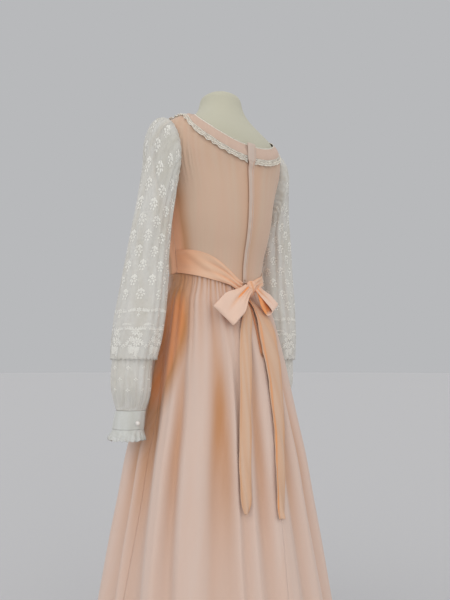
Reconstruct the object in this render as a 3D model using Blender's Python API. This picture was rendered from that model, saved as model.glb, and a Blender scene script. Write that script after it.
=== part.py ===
"""Prairie maxi dress standing on a limbless dress form.

The dress faces -Y, its zip and bow are at +Y, the wearer's left is +X, and the
floor is z = 0. Angles go round the body: 0 is the wearer's left side, 90 the
centre back, 180 the right side and 270 the centre front.
"""
import math
from collections import namedtuple

import bmesh
import bpy
from mathutils import Vector

for old in list(bpy.data.objects):
    bpy.data.objects.remove(old, do_unlink=True)

# Walls and gaps
CHIFFON = 0.0012
SKIRT_WALL = 0.0016
NET = 0.0011
LACE = 0.0010
SEAM_GAP = 0.0003
FORM_CLEARANCE = 0.0011
SHOULDER_EXTRA = 0.0012
LAP_CLEARANCE = 0.0006

# Dress levels and widths
HEM_Z = 0.040
WAIST_Z_SIDE = 1.057
WAIST_Z_BACK = 1.030
WAIST_Z_FRONT = 1.050
NECK_Z_LEFT = 1.410
NECK_Z_RIGHT = 1.403
NECK_Z_BACK = 1.341
NECK_Z_FRONT = 1.325
NECK_ROUNDNESS = 2.4
NECKBAND_WIDTH = 0.027
NECKBAND_LAP = 0.004
NECK_COLUMNS = 72
NECK_LACE_WIDTH = 0.015
PICOT_WIDTH = 0.0036
BODICE_COLUMNS = 10
BODICE_ARM_ROWS = 7
BODICE_SEAM_LEVELS = [0.0, 0.07, 0.18, 0.34, 0.54, 0.78, 1.0]
SKIRT_GATHER = 0.0014
BUST_EASE = 0.0030
GATHER_DEPTH = 0.0012
SKIRT_BLEND = 0.060
GATHER_FADE = 0.07
NECK_RUFFLE_LIFT = 0.0024

# Zip placket: its strip and the folded tab over the neckband's lap
ZIP_STRIP_WIDTH = 0.013
ZIP_BOTTOM_Z = 1.039
ZIP_TOP_RISE = 0.003
ZIP_LEVELS = 10
ZIP_TAB_Z = 1.283
ZIP_TAB_LIFT = 0.0032
ZIP_FOLDED = 0.0004

# Armhole on the body: half its height, half its breadth in degrees
ARMHOLE_Z = 1.310
ARMHOLE_HALF_HEIGHT = 0.070
ARMHOLE_BODY_RADIUS = 0.10  # across the body there, which turns its depth into degrees
ARMHOLE_HALF_ANGLE = 25.0

# Sleeve
SLEEVE_COLUMNS = 20
SLEEVE_FOLD = 0.0020
CUFF_TOP_Z = 0.7515
CUFF_BOTTOM_Z = 0.7120
CUFF_LACE_Z = 0.6870
CUFF_WAVES = 10
SLEEVE_LACE_DROP = 0.005
CUFF_LACE_DROP = 0.002
BUTTON_RADIUS = 0.0052
BUTTON_FLATNESS = 0.7
BUTTON_DROP = 0.006
BUTTON_TURN = 84.0

# Dress form
FORM_COLUMNS = 26
FORM_BOTTOM_Z = 0.845
NECK_TOP_Z = 1.482
FORM_LEVELS = [0.845, 0.849, 0.861, 0.905, 0.960, 1.005, 1.050, 1.095, 1.140, 1.185, 1.230, 1.265,
               1.295, 1.322, 1.343, 1.360, 1.375, 1.388, 1.400, 1.412, 1.425, 1.443, 1.460]
POLE_RADIUS = 0.014
BASE_RADIUS = 0.170
BASE_HEIGHT = 0.022

BodyRow = namedtuple("BodyRow", "z half_width side_y front_y back_y")
BODY = [
    BodyRow(0.845, 0.137, 0.004, -0.096, 0.110),
    BodyRow(0.900, 0.138, 0.004, -0.097, 0.112),
    BodyRow(0.970, 0.125, 0.003, -0.088, 0.107),
    BodyRow(1.020, 0.1120, 0.001, -0.089, 0.099),
    BodyRow(1.060, 0.1110, 0.000, -0.088, 0.098),
    BodyRow(1.100, 0.1150, 0.000, -0.092, 0.103),
    BodyRow(1.140, 0.1220, 0.002, -0.095, 0.110),
    BodyRow(1.180, 0.1315, 0.002, -0.104, 0.115),
    BodyRow(1.220, 0.1385, 0.003, -0.107, 0.117),
    BodyRow(1.250, 0.1455, 0.005, -0.103, 0.118),
    BodyRow(1.290, 0.1590, 0.008, -0.093, 0.1185),
    BodyRow(1.320, 0.1650, 0.012, -0.085, 0.118),
    BodyRow(1.350, 0.1640, 0.016, -0.076, 0.115),
    BodyRow(1.372, 0.1570, 0.019, -0.067, 0.109),
    BodyRow(1.386, 0.1465, 0.020, -0.059, 0.103),
    BodyRow(1.397, 0.1250, 0.020, -0.052, 0.096),
    BodyRow(1.408, 0.1010, 0.020, -0.044, 0.089),
    BodyRow(1.418, 0.0830, 0.020, -0.038, 0.083),
    BodyRow(1.430, 0.0665, 0.020, -0.033, 0.076),
    BodyRow(1.446, 0.0540, 0.020, -0.031, 0.071),
    BodyRow(1.462, 0.0490, 0.020, -0.029, 0.068),
    BodyRow(1.482, 0.0470, 0.019, -0.0280, 0.066),
]
BODY_SQUARENESS = 2.2

# Crests of the skirt: half widths from the axis at each height
SkirtRow = namedtuple("SkirtRow", "z side front back")
SKIRT = [
    SkirtRow(0.040, 0.322, 0.322, 0.322),
    SkirtRow(0.180, 0.299, 0.299, 0.299),
    SkirtRow(0.310, 0.276, 0.276, 0.276),
    SkirtRow(0.450, 0.251, 0.250, 0.252),
    SkirtRow(0.550, 0.231, 0.229, 0.234),
    SkirtRow(0.644, 0.213, 0.210, 0.217),
    SkirtRow(0.720, 0.193, 0.190, 0.200),
    SkirtRow(0.790, 0.177, 0.173, 0.184),
    SkirtRow(0.850, 0.165, 0.155, 0.170),
    SkirtRow(0.900, 0.154, 0.138, 0.155),
    SkirtRow(0.950, 0.1435, 0.123, 0.138),
    SkirtRow(1.000, 0.1320, 0.108, 0.119),
    SkirtRow(1.060, 0.116, 0.093, 0.104),
]

# Troughs between the skirt's crests: each drifts from the waist past the knee to the hem
SkirtFold = namedtuple("SkirtFold", "waist knee hem width depth")
SKIRT_FOLDS = [
    SkirtFold(-3, 3.0, 9, 12, 0.027),
    SkirtFold(22.5, 24.5, 30, 7, 0.016),
    SkirtFold(49, 52, 52, 12, 0.022),
    SkirtFold(64, 64, 67, 5, 0.010),
    SkirtFold(78, 75, 78, 7, 0.016),
    SkirtFold(94, 96, 98, 8, 0.015),
    SkirtFold(106, 112, 119, 7, 0.014),
    SkirtFold(129, 132, 135, 11, 0.020),
    SkirtFold(150, 152, 153, 8, 0.013),
    SkirtFold(171, 173, 175, 11, 0.022),
    SkirtFold(191, 189, 188, 9, 0.017),
    SkirtFold(210, 212, 213, 11, 0.020),
    SkirtFold(231, 232, 234, 8, 0.013),
    SkirtFold(249, 250, 252, 10, 0.019),
    SkirtFold(270, 270, 270, 11, 0.017),
    SkirtFold(291, 291, 290, 9, 0.016),
    SkirtFold(309, 309, 308, 11, 0.020),
    SkirtFold(328, 329, 330, 9, 0.014),
    SkirtFold(346, 349, 351, 9, 0.016),
]
KNEE_Z = 0.600
FOLD_SHARE_AT_WAIST = 0.10
FOLD_FULL_BELOW_WAIST = 0.50
SKIRT_LEVELS = [0.0, 0.022, 0.052, 0.095, 0.155, 0.24, 0.36, 0.52, 0.70, 0.86, 1.0]
SKIRT_COLUMNS_QUARTER = 20

# The centre back seam drifts a little toward the wearer's left on its way down
SeamRow = namedtuple("SeamRow", "z angle")
BACK_SEAM = [SeamRow(0.04, 81), SeamRow(0.50, 84), SeamRow(0.87, 87), SeamRow(1.06, 90)]

# Upper sleeve: top and bottom of each slanted ring, its middle and half depth in y
SleeveRing = namedtuple("SleeveRing", "outer_x outer_z inner_x inner_z y half_depth")
UPPER_SLEEVE = [
    SleeveRing(0.1660, 1.3880, 0.1500, 1.2360, 0.014, 0.0590),
    SleeveRing(0.1810, 1.3860, 0.1510, 1.2300, 0.017, 0.0620),
    SleeveRing(0.1930, 1.3700, 0.1515, 1.2220, 0.019, 0.0600),
    SleeveRing(0.2010, 1.3400, 0.1515, 1.2110, 0.020, 0.0550),
    SleeveRing(0.2080, 1.2950, 0.1510, 1.1960, 0.021, 0.0480),
    SleeveRing(0.2210, 1.2300, 0.1500, 1.1750, 0.018, 0.0430),
    SleeveRing(0.2330, 1.1600, 0.1520, 1.1360, 0.012, 0.0445),
    SleeveRing(0.2445, 1.0800, 0.1555, 1.0740, 0.004, 0.0490),
    SleeveRing(0.2570, 1.0000, 0.1575, 1.0000, 0.000, 0.0550),
    SleeveRing(0.2666, 0.9300, 0.1626, 0.9300, -0.006, 0.0610),
    SleeveRing(0.2690, 0.8950, 0.1670, 0.8950, -0.010, 0.0610),
    SleeveRing(0.2710, 0.8640, 0.1750, 0.8640, -0.012, 0.0575),
]
LOWER_SLEEVE = [
    SleeveRing(0.2665, 0.8620, 0.1830, 0.8620, -0.0130, 0.0500),
    SleeveRing(0.2685, 0.8350, 0.1865, 0.8350, -0.0145, 0.0500),
    SleeveRing(0.2675, 0.7950, 0.1870, 0.7950, -0.0160, 0.0485),
    SleeveRing(0.2630, 0.7740, 0.1895, 0.7740, -0.0170, 0.0430),
    SleeveRing(0.2570, CUFF_TOP_Z + SEAM_GAP, 0.1955, CUFF_TOP_Z + SEAM_GAP, -0.0180, 0.0345),
]
# Gather depth at each ring of a sleeve, from its top, as a share of SLEEVE_FOLD
UPPER_SLEEVE_FOLDS = [0.0, 0.5, 1.0, 1.2, 1.1, 1.0, 0.8, 0.6, 0.5, 0.5, 0.5, 0.5, 0.6]
LOWER_SLEEVE_FOLDS = [0.5, 0.6, 0.9, 1.3, 1.4, 0.7]
CUFF = [
    SleeveRing(0.2570, CUFF_TOP_Z, 0.1955, CUFF_TOP_Z, -0.0180, 0.0345),
    SleeveRing(0.2620, 0.7320, 0.1970, 0.7320, -0.0190, 0.0355),
    SleeveRing(0.2645, CUFF_BOTTOM_Z, 0.1985, CUFF_BOTTOM_Z, -0.0200, 0.0360),
]
CUFF_LACE = [
    SleeveRing(0.2645, CUFF_BOTTOM_Z - SEAM_GAP, 0.1985, CUFF_BOTTOM_Z - SEAM_GAP, -0.0200, 0.0360),
    SleeveRing(0.2680, 0.7000, 0.1990, 0.7000, -0.0205, 0.0385),
    SleeveRing(0.2720, CUFF_LACE_Z, 0.1995, CUFF_LACE_Z, -0.0210, 0.0410),
]

# Sash halves: each runs round the back from its side seam to the knot
SashRow = namedtuple("SashRow", "angle top_z bottom_z")
LEFT_SASH = [
    SashRow(1, 1.107, 1.058),
    SashRow(15, 1.106, 1.053),
    SashRow(30, 1.102, 1.047),
    SashRow(45, 1.093, 1.040),
    SashRow(60, 1.077, 1.032),
    SashRow(72, 1.059, 1.024),
    SashRow(80, 1.044, 1.014),
    SashRow(90, 1.030, 1.008),
]
RIGHT_SASH = [
    SashRow(1, 1.106, 1.058),
    SashRow(15, 1.098, 1.053),
    SashRow(28, 1.080, 1.045),
    SashRow(41, 1.068, 1.040),
    SashRow(55, 1.058, 1.033),
    SashRow(70, 1.048, 1.023),
    SashRow(80, 1.040, 1.014),
    SashRow(90, 1.030, 1.008),
]
SASH_PLEATS = 3
SASH_PLEAT_DEPTH = 0.0024
SASH_STEPS = 16
SASH_CLEARANCE = 0.0009
SASH_SEAM_LIFT = 0.0012
SashHalf = namedtuple("SashHalf", "name side rows end_angle end_rise")
SASH_HALVES = [
    SashHalf("sash_left", 1, LEFT_SASH, 86.0, 0.0014),
    SashHalf("sash_right", -1, RIGHT_SASH, 87.5, 0.0028),
]
KNOT_CENTRE = Vector((0.002, 0.1234, 1.019))
KNOT_HALF = Vector((0.0125, 0.0125, 0.0190))
KNOT_TILT = math.radians(-24)

# Bow loops: where each leaves the knot, how it falls and the way it faces
Loop = namedtuple("Loop", "root fall facing half_width spread")
LEFT_LOOP = Loop(Vector((0.0137, 0.0050, -0.001)), Vector((0.078, 0.003, -0.066)), 64, 0.030, 0.0055)
RIGHT_LOOP = Loop(Vector((-0.0093, 0.0075, -0.001)), Vector((-0.036, 0.014, -0.050)), 106, 0.0185, 0.0055)
LOOP_ROOT_HALF_WIDTH = 0.011
LOOP_STEPS = 12
RIBBON_COLUMNS = 4
TAIL_BOW = 0.003

# Bow tails lie on the skirt's crests; facing turns a tail's face, lift holds its middle off
TailRow = namedtuple("TailRow", "z angle half_width facing lift")
LEFT_TAIL = [
    TailRow(1.0005, 84.0, 0.0050, 84, 0.0),
    TailRow(0.985, 82.5, 0.0085, 82, 0.0),
    TailRow(0.957, 79.6, 0.0125, 79, 0.0),
    TailRow(0.925, 75.5, 0.0145, 76, 0.0),
    TailRow(0.860, 71.0, 0.0143, 71, 0.0),
    TailRow(0.776, 68.0, 0.0132, 68, 0.0),
    TailRow(0.715, 66.3, 0.0132, 66, 0.0),
    TailRow(0.656, 65.0, 0.0133, 65, 0.0),
    TailRow(0.597, 64.5, 0.0122, 64, 0.0),
    TailRow(0.568, 64.3, 0.0100, 64, 0.0),
    TailRow(0.549, 64.0, 0.0030, 64, 0.0),
]
RIGHT_TAIL = [
    TailRow(0.9960, 90.5, 0.0050, 90, 0.0),
    TailRow(0.985, 92.5, 0.0100, 90, 0.0005),
    TailRow(0.965, 95.5, 0.0175, 88, 0.0020),
    TailRow(0.938, 97.0, 0.0235, 87, 0.0035),
    TailRow(0.884, 95.5, 0.0240, 86, 0.0035),
    TailRow(0.832, 94.2, 0.0220, 87, 0.0030),
    TailRow(0.782, 93.0, 0.0200, 87, 0.0020),
    TailRow(0.698, 89.8, 0.0165, 90, 0.0),
    TailRow(0.652, 87.3, 0.0150, 90, 0.0010),
    TailRow(0.596, 85.0, 0.0135, 90, 0.0010),
    TailRow(0.533, 83.2, 0.0100, 88, 0.0010),
]
TAIL_CLEARANCE = 0.0020

Finish = namedtuple("Finish", "name colour roughness metallic")
CHIFFON_FINISH = Finish("peach chiffon", (0.68, 0.42, 0.30), 0.85, 0.0)
SKIRT_FINISH = Finish("pale peach chiffon", (0.74, 0.50, 0.39), 0.85, 0.0)
SASH_FINISH = Finish("peach sash", (0.78, 0.46, 0.30), 0.75, 0.0)
NET_FINISH = Finish("ivory net", (0.72, 0.72, 0.64), 0.9, 0.0)
LACE_FINISH = Finish("ivory lace", (0.78, 0.78, 0.72), 0.9, 0.0)
PEARL_FINISH = Finish("pearl button", (0.85, 0.83, 0.78), 0.2, 0.0)
FORM_FINISH = Finish("cream cotton cover", (0.60, 0.60, 0.47), 0.8, 0.0)
METAL_FINISH = Finish("cream painted steel", (0.55, 0.54, 0.46), 0.4, 0.6)


def material_of(finish):
    """One Principled material for each finish."""
    found = bpy.data.materials.get(finish.name)
    if found:
        return found
    made = bpy.data.materials.new(finish.name)
    made.use_nodes = True
    shader = made.node_tree.nodes["Principled BSDF"]
    shader.inputs["Base Color"].default_value = (*finish.colour, 1.0)
    shader.inputs["Roughness"].default_value = finish.roughness
    shader.inputs["Metallic"].default_value = finish.metallic
    return made


def smooth_read(table, column, z):
    """A table's column at height z, along a smooth curve through its rows."""
    rows = table
    if z <= rows[0].z:
        return getattr(rows[0], column)
    if z >= rows[-1].z:
        return getattr(rows[-1], column)
    k = max(i for i in range(len(rows) - 1) if rows[i].z <= z)

    def slope(i):
        low = max(i - 1, 0)
        high = min(i + 1, len(rows) - 1)
        rise = getattr(rows[high], column) - getattr(rows[low], column)
        return rise / (rows[high].z - rows[low].z)

    span = rows[k + 1].z - rows[k].z
    t = (z - rows[k].z) / span
    start = getattr(rows[k], column)
    end = getattr(rows[k + 1], column)
    bend_in = slope(k) * span
    bend_out = slope(k + 1) * span
    return (start * (2 * t**3 - 3 * t**2 + 1) + end * (3 * t**2 - 2 * t**3)
            + bend_in * (t**3 - 2 * t**2 + t) + bend_out * (t**3 - t**2))


def ramp(value, low, high):
    """0 below low, 1 above high, with a soft start and end."""
    t = min(max((value - low) / (high - low), 0.0), 1.0)
    return t * t * (3 - 2 * t)


def mix(a, b, t):
    return a + (b - a) * t


def round_point(angle, half_width, side_y, front_y, back_y, squareness):
    """A point of a rounded plan outline at an angle in degrees."""
    c = math.cos(math.radians(angle))
    s = math.sin(math.radians(angle))
    x = half_width * math.copysign(abs(c) ** (2 / squareness), c)
    reach = back_y - side_y if s > 0 else side_y - front_y
    y = side_y + reach * math.copysign(abs(s) ** (2 / squareness), s)
    return x, y


def body(angle, z):
    """A point on the torso."""
    read = [smooth_read(BODY, column, z) for column in BodyRow._fields[1:]]
    x, y = round_point(angle, *read, BODY_SQUARENESS)
    return Vector((x, y, z))


def body_normal(angle, z):
    """The way straight out of the torso there."""
    step = 0.0015
    around = body(angle + 0.5, z) - body(angle - 0.5, z)
    up = body(angle, z + step) - body(angle, z - step)
    return around.cross(up).normalized()


def off_body(angle, z, out):
    return body(angle, z) + body_normal(angle, z) * out


def down_body(angle, z, distance):
    """The height reached by going down the torso from z over that distance."""
    steps = 24
    for _ in range(steps):
        step = 0.0005
        length = (body(angle, z) - body(angle, z - step)).length
        z -= step * distance / steps / length
    return z


def neckline(angle):
    """Height of the neckband's upper edge."""
    s = math.sin(math.radians(angle))
    shoulder = NECK_Z_LEFT if math.cos(math.radians(angle)) > 0 else NECK_Z_RIGHT
    end = NECK_Z_BACK if s > 0 else NECK_Z_FRONT
    return mix(shoulder, end, abs(s) ** NECK_ROUNDNESS)


def waist_seam(angle):
    s = math.sin(math.radians(angle))
    end = WAIST_Z_BACK if s > 0 else WAIST_Z_FRONT
    return mix(WAIST_Z_SIDE, end, s * s)


def armhole(turn):
    """Angle and height on the body, turn 0 at its top, 90 at the back."""
    t = math.radians(turn)
    return ARMHOLE_HALF_ANGLE * math.sin(t), ARMHOLE_Z + ARMHOLE_HALF_HEIGHT * math.cos(t)


def bodice_out(z):
    """How far the bodice's inner face stands off the torso."""
    bust = ramp(z, 1.07, 1.16) * (1 - ramp(z, 1.22, 1.295))
    waist = 1 - ramp(z, 1.06, 1.12)
    shoulder = ramp(z, 1.27, 1.33) * SHOULDER_EXTRA
    return FORM_CLEARANCE + BUST_EASE * bust + 0.0008 * waist + shoulder


def add_object(name, bm, finish):
    bmesh.ops.recalc_face_normals(bm, faces=bm.faces)
    mesh = bpy.data.meshes.new(name)
    bm.to_mesh(mesh)
    bm.free()
    mesh.shade_smooth()
    mesh.set_sharp_from_angle(angle=math.radians(50))
    mesh.materials.append(material_of(finish))
    made = bpy.data.objects.new(name, mesh)
    bpy.context.scene.collection.objects.link(made)


def grid_quads(rows, columns, closed):
    """Corner numbers of each cell of a grid kept row by row."""
    last = columns if closed else columns - 1
    quads = []
    for r in range(rows - 1):
        for c in range(last):
            d = (c + 1) % columns
            quads.append((r * columns + c, r * columns + d, (r + 1) * columns + d, (r + 1) * columns + c))
    return quads


def wall(name, inner, outer, quads, finish):
    """A thin closed wall between two matching layers, with rims at its edges.

    A cell of cloth is seldom flat, so both layers are split along the same diagonal, the
    outer layer's shorter one. Split each its own way, they would cut through each other.
    """
    bm = bmesh.new()
    low = [bm.verts.new(p) for p in inner]
    high = [bm.verts.new(p) for p in outer]
    edges = {}
    for quad in quads:
        i, j, k, m = quad
        halves = [(i, j, k), (i, k, m)]
        if (outer[i] - outer[k]).length > (outer[j] - outer[m]).length:
            halves = [(i, j, m), (j, k, m)]
        for half in halves:
            bm.faces.new([high[n] for n in half])
            bm.faces.new([low[n] for n in reversed(half)])
        for a, b in zip(quad, quad[1:] + quad[:1]):
            if (b, a) in edges:
                del edges[(b, a)]
            else:
                edges[(a, b)] = True
    for a, b in edges:
        bm.faces.new([high[b], high[a], low[a], low[b]])
    add_object(name, bm, finish)


def grid_wall(name, inner_rows, outer_rows, finish, closed=False):
    inner = [p for row in inner_rows for p in row]
    outer = [p for row in outer_rows for p in row]
    quads = grid_quads(len(inner_rows), len(inner_rows[0]), closed)
    wall(name, inner, outer, quads, finish)


def mirrored(point, side):
    return Vector((point.x * side, point.y, point.z))


def bodice_edge_rows(centre_angle, side):
    """For each row of half a panel: its inner and its outer end as angle and height."""
    def neck_z(angle):
        return bodice_neck(angle if side > 0 else 180 - angle)

    ends = []
    gap_angle = math.copysign(math.degrees(SEAM_GAP / 2 / 0.12), centre_angle)
    under_z = ARMHOLE_Z - ARMHOLE_HALF_HEIGHT
    for k in BODICE_SEAM_LEVELS:
        centre = (centre_angle, mix(waist_seam(centre_angle), neck_z(centre_angle), k))
        edge = (gap_angle, mix(waist_seam(0), under_z, k))
        ends.append((centre, edge, 1 - k))
    for i in range(1, BODICE_ARM_ROWS + 1):
        k = i / BODICE_ARM_ROWS
        neck_angle = mix(centre_angle, gap_angle, k)
        arm_angle, arm_z = armhole(180 * (1 - k))
        arm_angle = math.copysign(max(arm_angle, abs(gap_angle)), centre_angle)
        ends.append(((neck_angle, neck_z(neck_angle)), (arm_angle, arm_z), 0.0))
    return ends


def bodice_neck(angle):
    """Height of the seam between the bodice and the neckband."""
    return down_body(angle, neckline(angle), NECKBAND_WIDTH - NECKBAND_LAP)


def bodice_half(centre_angle, side):
    """Inner and outer layers of half a bodice panel, as rows of points."""
    inner = []
    outer = []
    for centre, edge, low in bodice_edge_rows(centre_angle, side):
        inner_row = []
        outer_row = []
        for c in range(BODICE_COLUMNS + 1):
            u = c / BODICE_COLUMNS
            angle = mix(centre[0], edge[0], u)
            # Rows come in level at the underarm, so that they don't cross the armhole's foot.
            settle = mix(1 - (1 - u) ** 2, u, low)
            curve = waist_seam(angle) - mix(waist_seam(centre_angle), waist_seam(0), settle)
            z = mix(centre[1], edge[1], settle) + curve * low
            high = ramp(z, 1.10, 1.33) * (1 - abs(2 * u - 1) ** 3)
            start = bodice_out(z) + GATHER_DEPTH * high * (1 + (-1) ** c) / 2
            inner_row.append(mirrored(off_body(angle, z, start), side))
            outer_row.append(mirrored(off_body(angle, z, start + CHIFFON), side))
        inner.append(inner_row)
        outer.append(outer_row)
    return inner, outer


def joined_halves(name, halves, finish):
    """One wall from two half grids that share their centre line's points."""
    points = []
    index = {}
    quads = []
    for number, (inner, outer) in enumerate(halves):
        columns = len(inner[0])
        flat_in = [p for row in inner for p in row]
        flat_out = [p for row in outer for p in row]
        here = []
        for p, q in zip(flat_in, flat_out):
            key = tuple(round(v, 6) + 0.0 for v in p)
            if key not in index:
                index[key] = len(points)
                points.append((p, q))
            here.append(index[key])
        for quad in grid_quads(len(inner), columns, False):
            corners = tuple(here[i] for i in quad)
            quads.append(corners if number == 0 else tuple(reversed(corners)))
    wall(name, [p for p, _ in points], [q for _, q in points], quads, finish)


def bodice():
    left = bodice_half(-90.0, 1)
    right = bodice_half(-90.0, -1)
    joined_halves("bodice_front", [left, right], CHIFFON_FINISH)
    back_gap = math.degrees(SEAM_GAP / 2 / 0.11)
    for name, side in (("bodice_back_left", 1), ("bodice_back_right", -1)):
        inner, outer = bodice_half(90.0 - back_gap, side)
        grid_wall(name, inner, outer, CHIFFON_FINISH)


def neck_strip(name, rows, skipped, place, thickness, finish):
    """A strip that goes round the neck from centre back to centre back.

    place gives height and distance off the torso for an angle, column and row;
    skipped columns at each end leave the centre back open."""
    inner = []
    outer = []
    for r in range(rows + 1):
        inner_row = []
        outer_row = []
        for c in range(skipped, NECK_COLUMNS + 1 - skipped):
            angle = mix(90.15, 449.85, c / NECK_COLUMNS)
            z, out = place(angle, c, r / rows)
            inner_row.append(off_body(angle, z, out))
            outer_row.append(off_body(angle, z, out + thickness))
        inner.append(inner_row)
        outer.append(outer_row)
    grid_wall(name, inner, outer, finish)


def neck_trim():
    """The band, the picots above it and the gathered lace that lies below it."""
    def lapped(z):
        return bodice_out(z) + CHIFFON + 2.5 * LAP_CLEARANCE

    def band(angle, column, v):
        z = down_body(angle, neckline(angle), NECKBAND_WIDTH * v)
        return z, mix(FORM_CLEARANCE, lapped(z), ramp(v, 0.0, 0.8))

    def picot(angle, column, v):
        reach = PICOT_WIDTH if column % 2 else PICOT_WIDTH * 0.45
        return down_body(angle, neckline(angle), -SEAM_GAP - reach * (1 - v)), FORM_CLEARANCE

    def lace(angle, column, v):
        high = (1 + (-1) ** column) / 2
        width = NECK_LACE_WIDTH * (0.92 + 0.08 * high)
        z = down_body(angle, neckline(angle), NECKBAND_WIDTH + SEAM_GAP + width * v)
        return z, lapped(z) + (GATHER_DEPTH + NECK_RUFFLE_LIFT * high) * v

    neck_strip("neckband", 2, 0, band, CHIFFON, CHIFFON_FINISH)
    neck_strip("neck_picot_lace", 1, 0, picot, LACE, LACE_FINISH)
    neck_strip("neck_ruffle_lace", 2, 1, lace, LACE, LACE_FINISH)


def zip_strip():
    """The lapped placket over the centre back opening, from neck to sash."""
    inner = []
    outer = []
    for i in range(ZIP_LEVELS + 1):
        z = mix(ZIP_BOTTOM_Z, NECK_Z_BACK + ZIP_TOP_RISE, i / ZIP_LEVELS)
        tab = ZIP_TAB_LIFT * ramp(z, ZIP_TAB_Z, ZIP_TAB_Z + NECKBAND_WIDTH)
        lift = bodice_out(z) + CHIFFON + 1.5 * LAP_CLEARANCE + tab
        inner_row = []
        outer_row = []
        for k in range(3):
            x = (k - 1) * ZIP_STRIP_WIDTH / 2
            angle = 90 - math.degrees(x / 0.118)
            inner_row.append(off_body(angle, z, lift))
            outer_row.append(off_body(angle, z, lift + CHIFFON + ZIP_FOLDED))
        inner.append(inner_row)
        outer.append(outer_row)
    grid_wall("zip_placket", inner, outer, CHIFFON_FINISH)


def skirt_depth(angle, z):
    """How far the folds bring the skirt in from its crests."""
    fall = ramp(WAIST_Z_SIDE - z, -0.02, FOLD_FULL_BELOW_WAIST)
    high = ramp(z, KNEE_Z, WAIST_Z_SIDE)
    low = ramp(z, HEM_Z, KNEE_Z)
    depth = 0.0
    for fold in SKIRT_FOLDS:
        middle = mix(fold.knee, fold.waist, high) if z > KNEE_Z else mix(fold.hem, fold.knee, low)
        away = (angle - middle + 180) % 360 - 180
        if abs(away) < fold.width:
            shape = 0.5 + 0.5 * math.cos(math.pi * away / fold.width)
            depth = max(depth, fold.depth * shape * mix(FOLD_SHARE_AT_WAIST, 1.0, fall))
    return depth


def skirt_point(angle, z, out, gather=0.0):
    """A point of the skirt's inner face, moved out; gather adds waist pleats."""
    side = smooth_read(SKIRT, "side", z)
    front = smooth_read(SKIRT, "front", z)
    back = smooth_read(SKIRT, "back", z)
    x, y = round_point(angle, side, 0.0, -front, back, 2.0)
    below = waist_seam(angle) - z
    top = off_body(angle, waist_seam(angle), bodice_out(WAIST_Z_SIDE))
    w = ramp(below, -0.002, SKIRT_BLEND)
    flat = Vector((mix(top.x, x, w), mix(top.y, y, w), 0.0))
    radius = flat.length
    fade = math.exp(-max(below, 0.0) / GATHER_FADE)
    new_radius = radius - skirt_depth(angle, z) * w + gather * fade + out
    flat *= new_radius / radius
    return Vector((flat.x, flat.y, z))


def skirt_panel(name, start, end, columns):
    """A skirt panel between two seam angles, each a function of height."""
    inner = []
    outer = []
    for level in SKIRT_LEVELS:
        inner_row = []
        outer_row = []
        for c in range(columns + 1):
            u = c / columns
            middle = mix(WAIST_Z_SIDE, HEM_Z, level)
            radius = smooth_read(SKIRT, "side", middle)
            trim = math.degrees(SEAM_GAP / 2 / radius)
            angle = mix(start(middle) + trim, end(middle) - trim, u)
            top = waist_seam(angle) - 2 * SEAM_GAP
            z = mix(top, HEM_Z, level)
            gather = SKIRT_GATHER * (-1) ** c
            inner_row.append(skirt_point(angle, z, 0.0005, gather))
            outer_row.append(skirt_point(angle, z, 0.0005 + SKIRT_WALL, gather))
        inner.append(inner_row)
        outer.append(outer_row)
    grid_wall(name, inner, outer, SKIRT_FINISH)


def back_seam(z):
    return smooth_read(BACK_SEAM, "angle", z)


def skirt():
    quarter = SKIRT_COLUMNS_QUARTER
    skirt_panel("skirt_back_left", lambda z: 0.0, back_seam, quarter)
    skirt_panel("skirt_back_right", back_seam, lambda z: 180.0, quarter)
    skirt_panel("skirt_front", lambda z: 180.0, lambda z: 360.0, 2 * quarter)


def sleeve_ring(row, turn, out):
    """A point on a slanted ring; turn 0 is its outer end, 90 faces the back."""
    t = math.radians(turn)
    middle = Vector(((row.outer_x + row.inner_x) / 2, row.y, (row.outer_z + row.inner_z) / 2))
    reach = Vector((row.outer_x - row.inner_x, 0.0, row.outer_z - row.inner_z)) / 2
    half = reach.length
    across = reach / half
    return (middle + across * (half + out) * math.cos(t)
            + Vector((0, 1, 0)) * (row.half_depth + out) * math.sin(t))


def sleeve_fold(column, depth):
    uneven = 0.65 + 0.35 * math.cos(1.9 * column + 0.6)
    return depth * uneven * (-1) ** column


def sleeve_tube(name, side, rings, depths, thickness, finish, columns, edge=0.0):
    """A gathered tube through rings; edge drops every other point of its last ring."""
    inner = []
    outer = []
    for r, (ring, depth) in enumerate(zip(rings, depths)):
        inner_row = []
        outer_row = []
        for c in range(columns):
            fold = sleeve_fold(c, depth)
            low = ring(360 * c / columns, fold - thickness)
            high = ring(360 * c / columns, fold)
            if r == len(rings) - 1:
                drop = Vector((0, 0, -edge * (c % 2)))
                low += drop
                high += drop
            inner_row.append(mirrored(low, side))
            outer_row.append(mirrored(high, side))
        inner.append(inner_row)
        outer.append(outer_row)
    grid_wall(name, inner, outer, finish, closed=True)


def armhole_ring(turn, out):
    """The sleeve's first ring, just over the bodice's armhole edge; out widens the ring."""
    angle, z = armhole(turn)
    lift = bodice_out(z) + CHIFFON + LAP_CLEARANCE
    aside = math.degrees(out / ARMHOLE_BODY_RADIUS) * math.sin(math.radians(turn))
    return off_body(angle + aside, z + out * math.cos(math.radians(turn)), lift)


def table_ring(row):
    return lambda turn, out: sleeve_ring(row, turn, out)


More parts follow.
